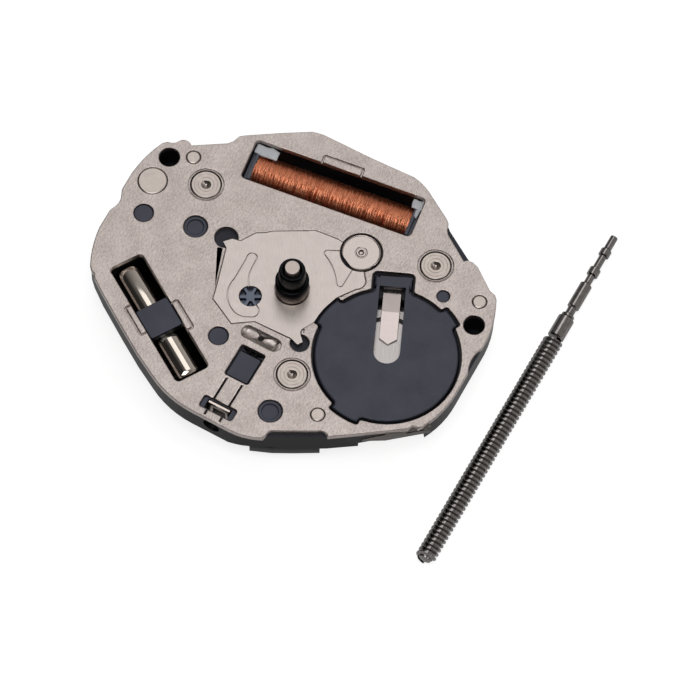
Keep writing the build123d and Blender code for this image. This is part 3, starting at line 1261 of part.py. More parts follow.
# Positive contact: the side strip with its lance and hook slot, and a finger that bears on the can
strip_face = side_place(0, side_contact_reach)
strip_plane = Plane(
    origin=(strip_face[0], strip_face[1], 0),
    x_dir=(cos(radians(side_contact_direction - 90)), sin(radians(side_contact_direction - 90)), 0),
    z_dir=(cos(radians(side_contact_direction)), sin(radians(side_contact_direction)), 0))
with BuildPart() as positive_terminal:
    with BuildSketch(strip_plane) as strip_profile:
        with BuildLine():
            Polyline(
                (side_contact_start, side_contact_top), (side_contact_end, side_contact_top),
                (side_contact_end, side_contact_lance_top), (side_contact_tip, side_contact_lance_tip),
                (side_contact_end, side_contact_bottom), (side_contact_start, side_contact_bottom), close=True)
        make_face()
        with Locations((side_contact_slot, side_contact_slot_depth)):
            SlotOverall(side_contact_slot_length, side_contact_slot_width, mode=Mode.SUBTRACT)
    extrude(strip_profile.sketch, amount=-side_contact_thickness)
    side_block(-side_contact_finger, side_contact_finger, can_reach + press_gap,
               side_contact_reach - side_contact_thickness, -side_contact_bottom,
               -side_contact_bottom + side_contact_thickness)
positive_terminal.part.label = "positive_terminal"
export_step(positive_terminal.part, "parts/positive_terminal.step")

# Train bridge, over the train from the back
with BuildPart() as train_bridge:
    sheet(bridge_shares, bridge_bottom, -bridge_depth)
    for centre in tube_axes:
        disc(centre, bridge_bottom, -bridge_depth, tube_thread_diameter / 2 + press_gap, mode=Mode.SUBTRACT)
    for axis, radius in ((first_axis, pivot_radius), (second_axis, pivot_radius), (rotor_axis, rotor_pivot_radius),
                         (hand_axis, centre_seat_radius)):
        disc(axis, bridge_bottom, -bridge_depth, radius + running_gap, mode=Mode.SUBTRACT)
    block(leaf_tail, bridge_bottom, -bridge_depth, 2 * corner_radius, leaf_room_width, slot_direction,
          mode=Mode.SUBTRACT)
train_bridge.part.label = "train_bridge"
export_step(train_bridge.part, "parts/train_bridge.step")

# Circuit board with its chip, on the bridge's back face
board_thickness = 0.10
board_bottom = bridge_bottom - board_thickness
chip_length = 1.90
chip_width = 1.60
chip_height = 0.17
chip_share = (-0.030, -0.460)
with BuildPart() as circuit_board:
    sheet(board_shares, board_bottom, bridge_bottom)
    disc(battery_axis, board_bottom, bridge_bottom, cup_diameter / 2 + seat_gap, mode=Mode.SUBTRACT)
    for centre in tube_axes:
        disc(centre, board_bottom, bridge_bottom, screw_head_diameter / 2 + air_gap, mode=Mode.SUBTRACT)
    for sideways in lead_offsets:
        spot = crystal_place(can_start - lead_run, sideways)
        disc(spot, board_bottom, bridge_bottom, crystal_lead_diameter / 2 + press_gap, mode=Mode.SUBTRACT)
circuit_board.part.label = "circuit_board"
export_step(circuit_board.part, "parts/circuit_board.step")

with BuildPart() as ic_chip:
    block(place(chip_share), board_bottom - chip_height, board_bottom, chip_length, chip_width)
ic_chip.part.label = "ic_chip"
export_step(ic_chip.part, "parts/ic_chip.step")

# Circuit spacer: the black strip that shows below the base's rim
with BuildPart() as circuit_spacer:
    sheet([(0.690, 0.172), (0.653, 0.262), (0.608, 0.345), (0.550, 0.445), (0.488, 0.412), (0.548, 0.308),
           (0.590, 0.228), (0.628, 0.143)], -bridge_depth, -rim_depth)
circuit_spacer.part.label = "circuit_spacer"
export_step(circuit_spacer.part, "parts/circuit_spacer.step")

# Back cover
with BuildPart() as back_cover:
    outlined(base_start_share, base_shares, -back_depth, cover_top, grow=-lower_body_inset)
    disc(battery_axis, -back_depth, cover_top, battery_diameter / 2 + air_gap, mode=Mode.SUBTRACT)
    side_block(-outline_reach / 5, outline_reach / 5, side_room_reach, outline_reach, -back_depth, cover_top,
               mode=Mode.SUBTRACT)
back_cover.part.label = "back_cover"
export_step(back_cover.part, "parts/back_cover.step")

# Setting lever, with the upright lug whose square window catches the stem's groove
with BuildPart() as setting_lever:
    sheet(lever_shares, lever_bottom, lever_top)
    disc(lever_axis, lever_bottom, lever_top, hub_diameter / 2)
    block((lug_x, stem_y), lever_top, -coin_depth, lug_thickness, lug_width)
    disc(lever_axis, lever_bottom, lever_top, post_diameter / 2 + running_gap, mode=Mode.SUBTRACT)
    block((lug_x, stem_y), stem_z - stem_guide_bore / 2, stem_z + stem_guide_bore / 2, 2 * lug_thickness,
          stem_guide_bore, mode=Mode.SUBTRACT)
setting_lever.part.label = "setting_lever"
export_step(setting_lever.part, "parts/setting_lever.step")

# Yoke, with the finger in the clutch's groove
finger_y = stem_y - finger_reach - finger_depth / 2
with BuildPart() as yoke:
    sheet(yoke_shares, lever_bottom, lever_top)
    disc(yoke_axis, lever_bottom, lever_top, hub_diameter / 2)
    block((finger_x, finger_y), lever_top, stem_z + finger_reach / 2, finger_thickness, finger_depth)
    disc(yoke_axis, lever_bottom, lever_top, post_diameter / 2 + running_gap, mode=Mode.SUBTRACT)
yoke.part.label = "yoke"
export_step(yoke.part, "parts/yoke.step")

# Setting lever spring and the two posts
spring_bottom = spring_top - spring_thickness
with BuildPart() as lever_spring:
    sheet(spring_shares, spring_bottom, spring_top)
    for axis in (lever_axis, yoke_axis):
        disc(axis, spring_bottom, spring_top, post_diameter / 2 + press_gap, mode=Mode.SUBTRACT)
lever_spring.part.label = "lever_spring"
export_step(lever_spring.part, "parts/lever_spring.step")

with BuildPart() as lever_posts:
    for axis in (lever_axis, yoke_axis):
        disc(axis, spring_bottom, -train_ceiling, post_diameter / 2)
        disc(axis, spring_bottom - spring_thickness, spring_bottom, post_diameter / 2 + spring_thickness)
lever_posts.part.label = "lever_posts"
export_step(lever_posts.part, "parts/lever_posts.step")

# Clutch wheel, which the yoke slides along the stem's axis
clutch_radius = clutch_diameter / 2
clutch_bore = stem_drive_diameter / 2 + press_gap
groove_start = finger_x - clutch_groove_width / 2
groove_end = finger_x + clutch_groove_width / 2

with BuildPart() as clutch_wheel:
    stem_line(clutch_x, groove_start, clutch_radius)
    stem_line(groove_start, groove_end, clutch_groove_diameter / 2)
    stem_line(groove_end, clutch_x + clutch_length, clutch_radius)
    stem_line(clutch_x, clutch_x + clutch_length, clutch_bore, mode=Mode.SUBTRACT)
    with BuildSketch(Plane(origin=(clutch_x, stem_y, stem_z), z_dir=(1, 0, 0))) as crown:
        with PolarLocations(clutch_radius, clutch_teeth):
            Rectangle(clutch_radius - clutch_bore, pi * clutch_radius / clutch_teeth)
    extrude(crown.sketch, amount=crown_tooth_height, mode=Mode.SUBTRACT)
clutch_wheel.part.label = "clutch_wheel"
export_step(clutch_wheel.part, "parts/clutch_wheel.step")

# Winding stem, shown taken out and lying beside the movement
thread_pitch = 0.225
thread_height = 0.13
thread_start = 5.70
thread_end = 17.60
stem_steps = [
    (0.02, 0.72, stem_pivot_diameter),
    (0.76, 1.10, stem_collar_diameter),
    (1.10, 1.78, stem_neck_diameter),
    (1.82, 2.20, stem_drive_diameter),
    (2.20, 2.66, stem_neck_diameter),
    (2.72, 4.00, stem_guide_diameter),
    (4.04, 4.38, stem_groove_diameter),
    (4.42, 4.56, stem_catch_diameter),
    (4.62, 5.66, stem_shoulder_diameter),
]
stem_centre = (loose_stem_tip_x, loose_stem_y, -back_depth + stem_thread_diameter / 2)
with BuildPart() as winding_stem:
    stem_profile = [(0, 0)]
    for start, end, diameter in stem_steps:
        stem_profile.extend([(start, diameter / 2), (end, diameter / 2)])
    crest = stem_thread_diameter / 2
    for ridge in range(round((thread_end - thread_start) / thread_pitch)):
        foot = thread_start + ridge * thread_pitch
        stem_profile.extend([(foot, crest - thread_height), (foot + thread_pitch / 2, crest)])
    stem_profile.extend([(thread_end, crest - thread_height), (stem_length, crest / 3), (stem_length, 0)])
    with BuildSketch(Plane(origin=stem_centre, x_dir=(1, 0, 0), z_dir=(0, -1, 0))) as stem_sketch:
        with BuildLine():
            Polyline(*stem_profile, close=True)
        make_face()
    revolve(stem_sketch.sketch, axis=Axis(stem_centre, (1, 0, 0)))
winding_stem.part.label = "winding_stem"
export_step(winding_stem.part, "parts/winding_stem.step")
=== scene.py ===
"""Two-hand quartz watch movement: the looks of each piece, the floor, the light and the camera.

The movement's own lengths are written in millimetres, as a movement is drawn, and MM turns them to metres.
The lamps, the floor and the camera's distance are in metres. Directions are in degrees, from the X axis.
"""
from math import atan2, cos, hypot, pi, radians, sin

import bmesh
import bpy
from mathutils import Matrix, Quaternion, Vector, noise


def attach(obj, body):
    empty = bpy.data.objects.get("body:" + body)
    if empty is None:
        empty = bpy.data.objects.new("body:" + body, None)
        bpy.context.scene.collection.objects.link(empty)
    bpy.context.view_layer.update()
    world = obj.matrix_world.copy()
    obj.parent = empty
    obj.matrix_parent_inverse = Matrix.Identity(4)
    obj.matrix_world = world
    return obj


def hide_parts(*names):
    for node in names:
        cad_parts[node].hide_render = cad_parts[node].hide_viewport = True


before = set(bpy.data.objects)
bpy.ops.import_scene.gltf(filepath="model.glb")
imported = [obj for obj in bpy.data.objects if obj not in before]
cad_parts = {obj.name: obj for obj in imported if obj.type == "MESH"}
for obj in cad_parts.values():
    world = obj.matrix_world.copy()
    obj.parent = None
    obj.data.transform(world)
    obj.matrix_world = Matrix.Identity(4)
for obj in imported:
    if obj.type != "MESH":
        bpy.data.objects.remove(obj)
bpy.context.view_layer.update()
MM = 0.001

# Places that the construction has too
hand_axis = (0, 0)
rotor_axis = (-3.06, 1.78)
battery_axis = (0.78, 5.14)
setting_axis = (2.725, -0.03)
tube_axes = [(-2.63, -5.83), (-4.09, 4.95), (3.58, 1.99)]
rivet_axis = (-1.64, -7.99)
pin_axes = [(-3.54, -6.99), (-3.49, 7.46), (4.71, 3.89)]
coil_middle = (-5.24, -0.84, -1.12)
coil_direction = 97.6
crystal_middle = (4.03, -4.42, -1.42)
crystal_direction = 58.0
slot_direction = 203.7
stem_tip = (-10.24, 10.78, -2.27)

# Levels that the construction has too, where the dial plate's top is 0
cup_level = -0.02
coin_level = -0.03
groove_level = -0.06
ledge_level = -0.06
plate_bottom = -0.28
back_level = -2.72

# What counts as the same level, as one point in a CAD mesh or in a new piece, and as a level face
level_slack = 0.004
cad_weld = 0.0005
piece_weld = 0.0002
level_normal = 0.9999


def linear(code):
    """The linear colour of an sRGB hex code."""
    channels = [int(code[place:place + 2], 16) / 255 for place in (1, 3, 5)]
    return [c / 12.92 if c <= 0.04045 else ((c + 0.055) / 1.055) ** 2.4 for c in channels] + [1]


def feed(tree, node, inputs):
    """Sets a node's inputs to values, or links them to sockets."""
    for key, value in inputs.items():
        if isinstance(value, bpy.types.NodeSocket):
            tree.links.new(value, node.inputs[key])
        else:
            node.inputs[key].default_value = value


def add(tree, kind, settings, inputs):
    """Adds a node with its settings, and feeds its inputs."""
    made = tree.nodes.new(kind)
    for key, value in settings.items():
        setattr(made, key, value)
    feed(tree, made, inputs)
    return made


def start_material(name):
    """A new material with its tree, its shader and its object coordinates."""
    made = bpy.data.materials.new(name)
    made.use_nodes = True
    tree = made.node_tree
    place = tree.nodes.new("ShaderNodeTexCoord").outputs["Object"]
    return made, tree, tree.nodes["Principled BSDF"], place


def per(size):
    """The scale of a pattern whose features are that many millimetres apart."""
    return 1 / (size * MM)


def grain(tree, place, size, detail=3.0, turn=0.0, stretch=1.0):
    """Noise with features of a size in millimetres, drawn out along a level direction."""
    if stretch != 1:
        place = add(tree, "ShaderNodeMapping", {"vector_type": "TEXTURE"},
                    {"Vector": place, "Rotation": (0, 0, radians(turn)),
                     "Scale": (stretch, 1, 1)}).outputs["Vector"]
    return add(tree, "ShaderNodeTexNoise", {},
               {"Vector": place, "Scale": per(size), "Detail": detail}).outputs["Fac"]


def blended(tree, amount, first, second, low=0.3, high=0.7):
    """A number or a colour between two, where a pattern goes from low to high.

    A colour is a hex code or a socket. The Mix node has several sockets of each name, so its sockets go by
    number: 0 is the amount, 6 and 7 are the two colours, and output 2 is the colour between them.
    """
    limits = {"Value": amount, "From Min": low, "From Max": high}
    if isinstance(first, float):
        limits.update({"To Min": first, "To Max": second})
        return add(tree, "ShaderNodeMapRange", {"clamp": True}, limits).outputs["Result"]
    spread = add(tree, "ShaderNodeMapRange", {"clamp": True}, limits).outputs["Result"]
    colours = [linear(colour) if isinstance(colour, str) else colour for colour in (first, second)]
    return add(tree, "ShaderNodeMix", {"data_type": "RGBA"},
               {0: spread, 6: colours[0], 7: colours[1]}).outputs[2]


def lay_surface(tree, shader, colour, rough, relief, others):
    """Gives a shader its colour, roughness and relief, and its other values.

    The relief is a pattern, its depth in millimetres, and how strongly it shows.
    """
    height, depth, strength = relief
    bump = add(tree, "ShaderNodeBump", {},
               {"Height": height, "Distance": depth * MM, "Strength": strength})
    feed(tree, shader, {"Base Color": colour, "Roughness": rough, "Normal": bump.outputs["Normal"]})
    feed(tree, shader, others)


def stamped_nickel():
    """Nickel-plated stamped steel, tumbled and brushed: a warm satin grey with a short cloudy grain.

    The real grain is too fine to show, so it is drawn 0.05 and 0.085 mm apart, one or two pixels.
    """
    made, tree, shader, place = start_material("stamped_nickel")
    streaks = grain(tree, place, 0.050, detail=4, turn=8, stretch=4)
    mottle = grain(tree, place, 0.085, detail=5)
    cloud = grain(tree, place, 0.9)
    both = add(tree, "ShaderNodeMath", {"operation": "ADD"}, {0: mottle, 1: streaks}).outputs[0]
    tone = add(tree, "ShaderNodeMath", {"operation": "MULTIPLY_ADD"},
               {0: cloud, 1: 0.5, 2: both}).outputs[0]
    lay_surface(tree, shader, blended(tree, tone, "#AA9F9A", "#D6CBC6", 0.98, 1.50),
                blended(tree, mottle, 0.34, 0.46), (both, 0.010, 0.75), {"Metallic": 1})
    return made


def fine_nickel():
    """Nickel-plated sheet, brushed straight: smoother than the plate, with long hair lines.

    The real lines are too fine to show, so they are drawn 0.035 mm apart, most of a pixel.
    """
    made, tree, shader, place = start_material("fine_nickel")
    streaks = grain(tree, place, 0.035, detail=4, turn=27, stretch=14)
    cloud = grain(tree, place, 0.5, detail=2)
    tone = add(tree, "ShaderNodeMath", {"operation": "MULTIPLY_ADD"},
               {0: cloud, 1: 0.4, 2: streaks}).outputs[0]
    lay_surface(tree, shader, blended(tree, tone, "#B7ADA8", "#CDC3BE", 0.45, 0.95),
                blended(tree, streaks, 0.32, 0.40), (streaks, 0.003, 0.4), {"Metallic": 1})
    return made


def turned_bearing_steel():
    """Turned bright steel: rings left by the lathe catch the light round the rotor's axis.

    The real rings are too fine to show, so they are drawn 0.19 mm apart.
    """
    ring_gap = 0.1885
    waves_per_unit = 20 / (2 * pi)
    made, tree, shader, place = start_material("turned_bearing")
    centred = add(tree, "ShaderNodeMapping", {},
                  {"Vector": place, "Location": (-rotor_axis[0] * MM, -rotor_axis[1] * MM, 0)})
    rings = add(tree, "ShaderNodeTexWave", {"wave_type": "RINGS", "rings_direction": "Z"},
                {"Vector": centred.outputs["Vector"], "Scale": per(ring_gap * waves_per_unit),
                 "Distortion": 1.5, "Detail": 2})
    cloud = grain(tree, place, 0.2)
    lay_surface(tree, shader, blended(tree, cloud, "#AEA49F", "#C3B9B4"), blended(tree, cloud, 0.26, 0.36),
                (rings.outputs["Fac"], 0.002, 0.3), {"Metallic": 1})
    return made


def moulded_plastic(name, dark, light, rough):
    """Moulded nylon, cast resin or a flux coat: an even skin with a faint mottle that takes off its shine.

    The real skin is too fine to show, so it is drawn 0.05 mm apart, about a pixel.
    """
    made, tree, shader, place = start_material(name)
    skin = grain(tree, place, 0.05)
    cloud = grain(tree, place, 1.1)
    lay_surface(tree, shader, blended(tree, cloud, dark, light), blended(tree, skin, rough, rough + 0.12),
                (skin, 0.004, 0.35), {"IOR": 1.48})
    return made


def base_plastic():
    """Black polyacetal: spark-eroded and blue-grey on its tops, smooth on walls and in wells, which carry a
    painted shade of black.

    The spark-eroded grit is too fine to show, so it is drawn 0.05 mm apart, about a pixel.
    """
    made, tree, shader, place = start_material("black_polyacetal")
    skin = grain(tree, place, 0.05)
    cloud = grain(tree, place, 1.1)
    height = add(tree, "ShaderNodeSeparateXYZ", {}, {"Vector": place}).outputs["Z"]
    normal = tree.nodes.new("ShaderNodeNewGeometry").outputs["Normal"]
    facing = add(tree, "ShaderNodeSeparateXYZ", {}, {"Vector": normal}).outputs["Z"]
    # Painted shade: faces deeper than the tops, and faces that do not face up, get a black colour and a weak
    # reflection
    out_of_well_shade = blended(tree, height, 0.0, 1.0, -0.34 * MM, -0.16 * MM)
    level = blended(tree, facing, 0.0, 1.0, 0.70, 0.98)
    unshaded_top = add(tree, "ShaderNodeMath", {"operation": "MULTIPLY"}, {0: out_of_well_shade, 1: level}).outputs[0]
    top_colour = blended(tree, cloud, "#3B3D4A", "#454756")
    lay_surface(tree, shader, blended(tree, unshaded_top, "#18191D", top_colour, 0.0, 1.0),
                blended(tree, unshaded_top, 0.34, 0.52, 0.0, 1.0), (skin, 0.004, 0.35),
                {"IOR": 1.48, "Specular IOR Level": blended(tree, unshaded_top, 0.12, 0.50, 0.0, 1.0)})
    return made


def enamelled_copper():
    """Enamelled copper wire: orange metal under a thin clear coat that softens the glint of each turn."""
    made, tree, shader, place = start_material("enamelled_copper")
    tone = grain(tree, place, 0.07, detail=4, turn=coil_direction + 90, stretch=9)
    lay_surface(tree, shader, blended(tree, tone, "#CE7550", "#F2A27C"), blended(tree, tone, 0.34, 0.46),
                (tone, 0.006, 0.4), {"Metallic": 1, "Coat Weight": 0.15, "Coat Roughness": 0.3})
    return made


def polished_metal(name, dark, light, rough, size=0.4):
    """Polished metal: smooth, with a faint cloudiness that keeps its reflections from being perfect."""
    made, tree, shader, place = start_material(name)
    cloud = grain(tree, place, size)
    lay_surface(tree, shader, blended(tree, cloud, dark, light), blended(tree, cloud, rough, rough + 0.06),
                (cloud, 0.002, 0.2), {"Metallic": 1})
    return made


def brushed_metal(name, dark, light, rough, size, turn):
    """Straight brushed metal: hair lines along one direction break its highlight into streaks.

    The real lines are about 0.01 mm apart, too fine to show, so they are drawn 0.03 to 0.06 mm apart.
    """
    made, tree, shader, place = start_material(name)
    hairs = grain(tree, place, size, turn=turn, stretch=25)
    lay_surface(tree, shader, blended(tree, hairs, dark, light), blended(tree, hairs, rough, rough + 0.12),
                (hairs, 0.003, 0.4), {"Metallic": 1})
    return made


def blackened_pipe():
    """The hour wheel's steel: black oxide on its pipe, and down the collar's wall a painted reflection of the
    guard, pale at its foot and dark higher up.
    """
    made, tree, shader, place = start_material("blackened_pipe")
    height = add(tree, "ShaderNodeSeparateXYZ", {}, {"Vector": place}).outputs["Z"]
    cloud = grain(tree, place, 0.3)
    black = blended(tree, cloud, "#0E0F10", "#17191A")
    # Painted reflection: the collar's wall is pale at its foot and darkens upward, as if it mirrored the guard
    painted_guard_reflection = blended(tree, height, "#A0958F", "#1C1A1A", 0.05 * MM, 0.68 * MM)
    upper = blended(tree, height, 0.0, 1.0, 0.60 * MM, 0.75 * MM)
    lay_surface(tree, shader, blended(tree, upper, painted_guard_reflection, black, 0.0, 1.0), blended(tree, cloud, 0.24, 0.32),
                (cloud, 0.002, 0.2), {"Metallic": 1})
    return made


def board_laminate():
    """Polyimide circuit film over copper: amber with a faint weave of darker tracks, 1.2 mm apart."""
    made, tree, shader, place = start_material("board_laminate")
    tracks = add(tree, "ShaderNodeTexBrick", {"offset": 0.5},
                 {"Vector": place, "Scale": per(1.2), "Color1": linear("#7A5A22"), "Color2": linear("#6A4B1B"),
                  "Mortar": linear("#A9762C"), "Mortar Size": 0.06})
    feed(tree, shader, {"Base Color": tracks.outputs["Color"],
                        "Roughness": blended(tree, grain(tree, place, 0.1), 0.32, 0.45)})
    return made


nickel = stamped_nickel()
guard_nickel = fine_nickel()
bearing_steel = turned_bearing_steel()
base_black = base_plastic()
copper = enamelled_copper()
pipe_black = blackened_pipe()
board_film = board_laminate()

# Bright steel is pale with soft mirror patches, and burnished steel is nearly black
bright_steel = polished_metal("bright_steel", "#BDB1A9", "#D2C6BE", 0.26)
dark_steel = polished_metal("burnished_steel", "#191918", "#242322", 0.28)
# The can mirrors the room in long clean streaks
can_metal = polished_metal("nickel_silver_can", "#BDB4AA", "#CCC3B9", 0.04, 1.5)
# The stem's thread glints at each crest and stays dark in its roots
stem_steel = polished_metal("turned_stem_steel", "#7E7A79", "#928E8C", 0.10, 0.2)
# Heads that lie flush in the plate show as smoother, slightly darker discs
pin_steel = polished_metal("pin_steel", "#A69C96", "#BBB1AA", 0.28)
# The cut end of the minute pinion is matte and pale
pinion_steel = polished_metal("matte_pinion_steel", "#BEB2AB", "#CFC3BC", 0.42)
# The six leaves show blue-grey in their hole
blued_steel = polished_metal("blued_pinion_steel", "#5A606C", "#6A707C", 0.36)
# The strip at the rim is greyer and darker than the plate
side_nickel = polished_metal("side_strip_nickel", "#696562", "#7A7572", 0.40)
# Inside: golden wheels, a dull grey magnet, and a quartz fork that its electrodes make look like pale metal
brass = polished_metal("rolled_brass", "#B98F45", "#D0A75C", 0.25)
magnet = polished_metal("sintered_magnet", "#4A4A4C", "#5C5C5E", 0.30)
quartz = polished_metal("quartz_blank", "#D9DCDD", "#EEF0F0", 0.08)

# The battery's cap is satin, and the leaf over it smooth enough to mirror the lamps
cap_steel = brushed_metal("battery_cap_steel", "#A9A4A2", "#C9C4C2", 0.32, 0.03, 27)
leaf_bronze = brushed_metal("nickelled_spring_bronze", "#ADA29F", "#BBB0AD", 0.14, 0.05, slot_direction)
# Soft magnetic iron is dull and even, and the back cover has a broad satin sheen
iron = brushed_metal("annealed_iron", "#8F8E8A", "#A3A29D", 0.40, 0.04, 0)
cover_nickel = brushed_metal("satin_cover_nickel", "#9A9590", "#ABA6A0", 0.42, 0.06, 0)

# The seal is a soft black, the chip dull, the bobbin slate grey, and the solder milky under its flux
seal_nylon = moulded_plastic("seal_nylon", "#1C1B1B", "#242322", 0.40)
chip_resin = moulded_plastic("chip_resin", "#121214", "#1B1B1E", 0.45)
bobbin_nylon = moulded_plastic("bobbin_nylon", "#4A4D57", "#565A64", 0.42)
pad_solder = moulded_plastic("flux_coated_solder", "#C4C7CC", "#DADDE1", 0.34)


def flatten_level_faces(mesh):
    """Shades a mesh's level faces flat and all others smooth, so that tops look level beside rounded edges."""
    smooth = [abs(face.normal.z) < level_normal for face in mesh.polygons]
    mesh.polygons.foreach_set("use_smooth", smooth)


def even_out(piece):
    """Keeps a piece's straight walls evenly shaded beside its rounded ones."""
    even = piece.modifiers.new("even", "WEIGHTED_NORMAL")
    even.weight = 100
    even.keep_sharp = True


def soften(node, material, width):
    """Gives a CAD node its material, and takes the sharpness off its edges by a width in millimetres."""
    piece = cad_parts[node]
    for place in piece.material_slots:
        place.material = material
    weld = piece.modifiers.new("joined", "WELD")
    weld.merge_threshold = cad_weld * MM
    flat = piece.modifiers.new("flat", "DECIMATE")
    flat.decimate_type = "DISSOLVE"
    flat.angle_limit = radians(0.5)
    bevel = piece.modifiers.new("rounded", "BEVEL")
    bevel.width = width * MM
    bevel.segments = 2
    bevel.limit_method = "ANGLE"
    bevel.angle_limit = radians(40)
    bevel.use_clamp_overlap = False
    even_out(piece)
    flatten_level_faces(piece.data)


def copied(node):
    """A merged bmesh copy of a CAD node."""
    shape = bmesh.new()
    shape.from_mesh(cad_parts[node].data)
    bmesh.ops.remove_doubles(shape, verts=shape.verts[:], dist=cad_weld * MM)
    return shape


def add_to(whole, shape):
    """Adds a bmesh to another one, and frees it."""
    mesh = bpy.data.meshes.new("added")
    shape.to_mesh(mesh)
    shape.free()
    whole.from_mesh(mesh)
    bpy.data.meshes.remove(mesh)


def finish_piece(shape, name, material, body, nodes, sharp=35):
    """Makes a piece from its bmesh, gives it its finish, and lets it stand for CAD nodes."""
    bmesh.ops.remove_doubles(shape, verts=shape.verts[:], dist=piece_weld * MM)
    bmesh.ops.recalc_face_normals(shape, faces=shape.faces[:])
    mesh = bpy.data.meshes.new(name)
    shape.to_mesh(mesh)
    shape.free()
    mesh.set_sharp_from_angle(angle=radians(sharp))
    flatten_level_faces(mesh)
    piece = bpy.data.objects.new(name, mesh)
    bpy.context.scene.collection.objects.link(piece)
    mesh.materials.append(material)
    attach(piece, body)
    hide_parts(*nodes)
    return piece


def lathe(shape, points, centre, steps=96):
    """Turns a profile of radii and levels, in millimetres, about an upright axis."""
    middle = Vector((*centre, 0)) * MM
    spots = [shape.verts.new(middle + Vector((radius, 0, level)) * MM) for radius, level in points]
    lines = [shape.edges.new(pair) for pair in zip(spots, spots[1:])]
    bmesh.ops.spin(shape, geom=spots + lines, cent=middle, axis=(0, 0, 1), angle=2 * pi, steps=steps,
                   use_merge=True)


def lying(place, direction):
    """The transform that lays a piece made upright along a level direction, with its origin at a place."""
    return (Matrix.Translation(Vector(place) * MM) @ Matrix.Rotation(radians(direction), 4, "Z")
            @ Matrix.Rotation(radians(90), 4, "Y"))


def make_screw_tubes():
    """The three screw tubes: a flat head with a round dimple and two turned grooves, on a bored tube."""
    dimple = [(0, -0.14), (0.06, -0.13), (0.11, -0.10), (0.16, -0.055), (0.195, -0.02), (0.215, -0.004),
              (0.23, 0)]
    inner_groove = [(0.33, 0), (0.34, -0.008), (0.355, -0.008), (0.365, 0)]
    outer_groove = [(0.50, 0), (0.51, -0.006), (0.525, -0.006), (0.535, 0)]
    rolled_edge = [(0.625, 0), (0.650, -0.010), (0.668, -0.035), (0.675, -0.10), (0.675, plate_bottom)]
    bored_tube = [(0.55, plate_bottom), (0.55, -2.0), (0.32, -2.0), (0.32, -1.2), (0, -1.2)]
    shape = bmesh.new()
    for centre in tube_axes:
        lathe(shape, dimple + inner_groove + outer_groove + rolled_edge + bored_tube, centre)
    finish_piece(shape, "turned_screw_tubes", pin_steel, "movement", ["screw_tubes"])


def make_rivet_and_pins():
    """The flat rivet and the three locating pins, with rounded rims."""
    head = [(0, 0), (0.600, 0), (0.632, -0.012), (0.645, -0.040), (0.645, plate_bottom)]
    shank = [(0.31, plate_bottom), (0.31, -1.0), (0, -1.0)]
    shape = bmesh.new()
    lathe(shape, head + shank, rivet_axis)
    finish_piece(shape, "round_rivet", pin_steel, "movement", ["plate_rivet"])
    pin = [(0, 0), (0.255, 0), (0.290, -0.014), (0.31, -0.045), (0.31, -1.0), (0, -1.0)]
    shape = bmesh.new()
    for centre in pin_axes:
        lathe(shape, pin, centre, steps=64)
    finish_piece(shape, "round_pins", pin_steel, "movement", ["locating_pins"])


def make_rotor_bearing():
    """The rotor's bearing: a disc with two flats on its rim, and a hub ring round the pivot in its oil cup.

    Each flat faces a direction, at a reach from the axis.
    """
    hub = [(0.125, plate_bottom), (0.125, -0.012), (0.140, 0), (0.195, 0), (0.212, -0.010), (0.225, -0.055)]
    groove = [(0.255, -0.055), (0.268, -0.030), (0.285, -0.022)]
    disc = [(0.800, -0.022), (0.815, -0.002), (0.835, 0.004), (0.860, -0.010), (0.880, -0.05),
            (0.885, plate_bottom), (0.125, plate_bottom)]
    pivot = [(0, -0.05), (0.03, -0.055), (0.05, -0.08), (0.055, plate_bottom), (0, plate_bottom)]
    flats = ((Vector((0.892, -0.451, 0)), 0.765), (Vector((0.421, 0.907, 0)), 0.845))
    shape = bmesh.new()
    lathe(shape, hub + groove + disc, rotor_axis, steps=128)
    for facing, reach in flats:
        for vert in shape.verts:
            over = (vert.co - Vector((*rotor_axis, 0)) * MM).dot(facing) - reach * MM
            if over > 0:
                vert.co -= over * facing
    lathe(shape, pivot, rotor_axis, steps=32)
    finish_piece(shape, "rolled_bearing", bearing_steel, "movement", ["rotor_bearing"])


def along_coil(reach, side, height):
    """A point beside the coil: along its axis, across it, and up from it, in metres."""
    turn = radians(coil_direction)
    return Vector((coil_middle[0] + reach * cos(turn) - side * sin(turn),
                   coil_middle[1] + reach * sin(turn) + side * cos(turn), coil_middle[2] + height)) * MM


def wind(shape, profile, centre, axis, pitch, turns, steps):
    """Winds a profile into a helix about an axis: one turn is spun, and the others are copies of it."""
    bmesh.ops.spin(shape, geom=profile, cent=centre, axis=axis, dvec=axis * (pitch * MM / steps),
                   angle=2 * pi, steps=steps)
    turn = shape.verts[:] + shape.edges[:] + shape.faces[:]
    for count in range(1, turns):
        copy = bmesh.ops.duplicate(shape, geom=turn)["geom"]
        moved = [part for part in copy if isinstance(part, bmesh.types.BMVert)]
        bmesh.ops.translate(shape, verts=moved, vec=axis * (pitch * MM * count))


def stray(shape, layer, axis, length, pitch):
    """Lets a layer's wire stray along the coil and off it, as fast-fed wire does.

    Each point has a place along the wire, counted in turns, so that a stray runs on from turn to turn.
    """
    along_reach, off_reach = 0.110, 0.034
    along_rate, off_rate = 2.3, 1.7
    own_noise = 40 * layer
    middle = along_coil(0, 0, 0)
    side = axis.cross(Vector((0, 0, 1)))
    for vert in shape.verts:
        rise = vert.co - middle
        far = rise.dot(axis)
        out = (rise - axis * far).normalized()
        angle = atan2(out.dot(-side), out.z) / (2 * pi) % 1
        place = round((far / MM + length / 2) / pitch - angle) + angle
        shift = noise.noise(Vector((place * along_rate, own_noise, 3)))
        lift = noise.noise(Vector((place * off_rate, own_noise, 9)))
        vert.co += axis * (shift * along_reach * MM) + out * (lift * off_reach * MM)


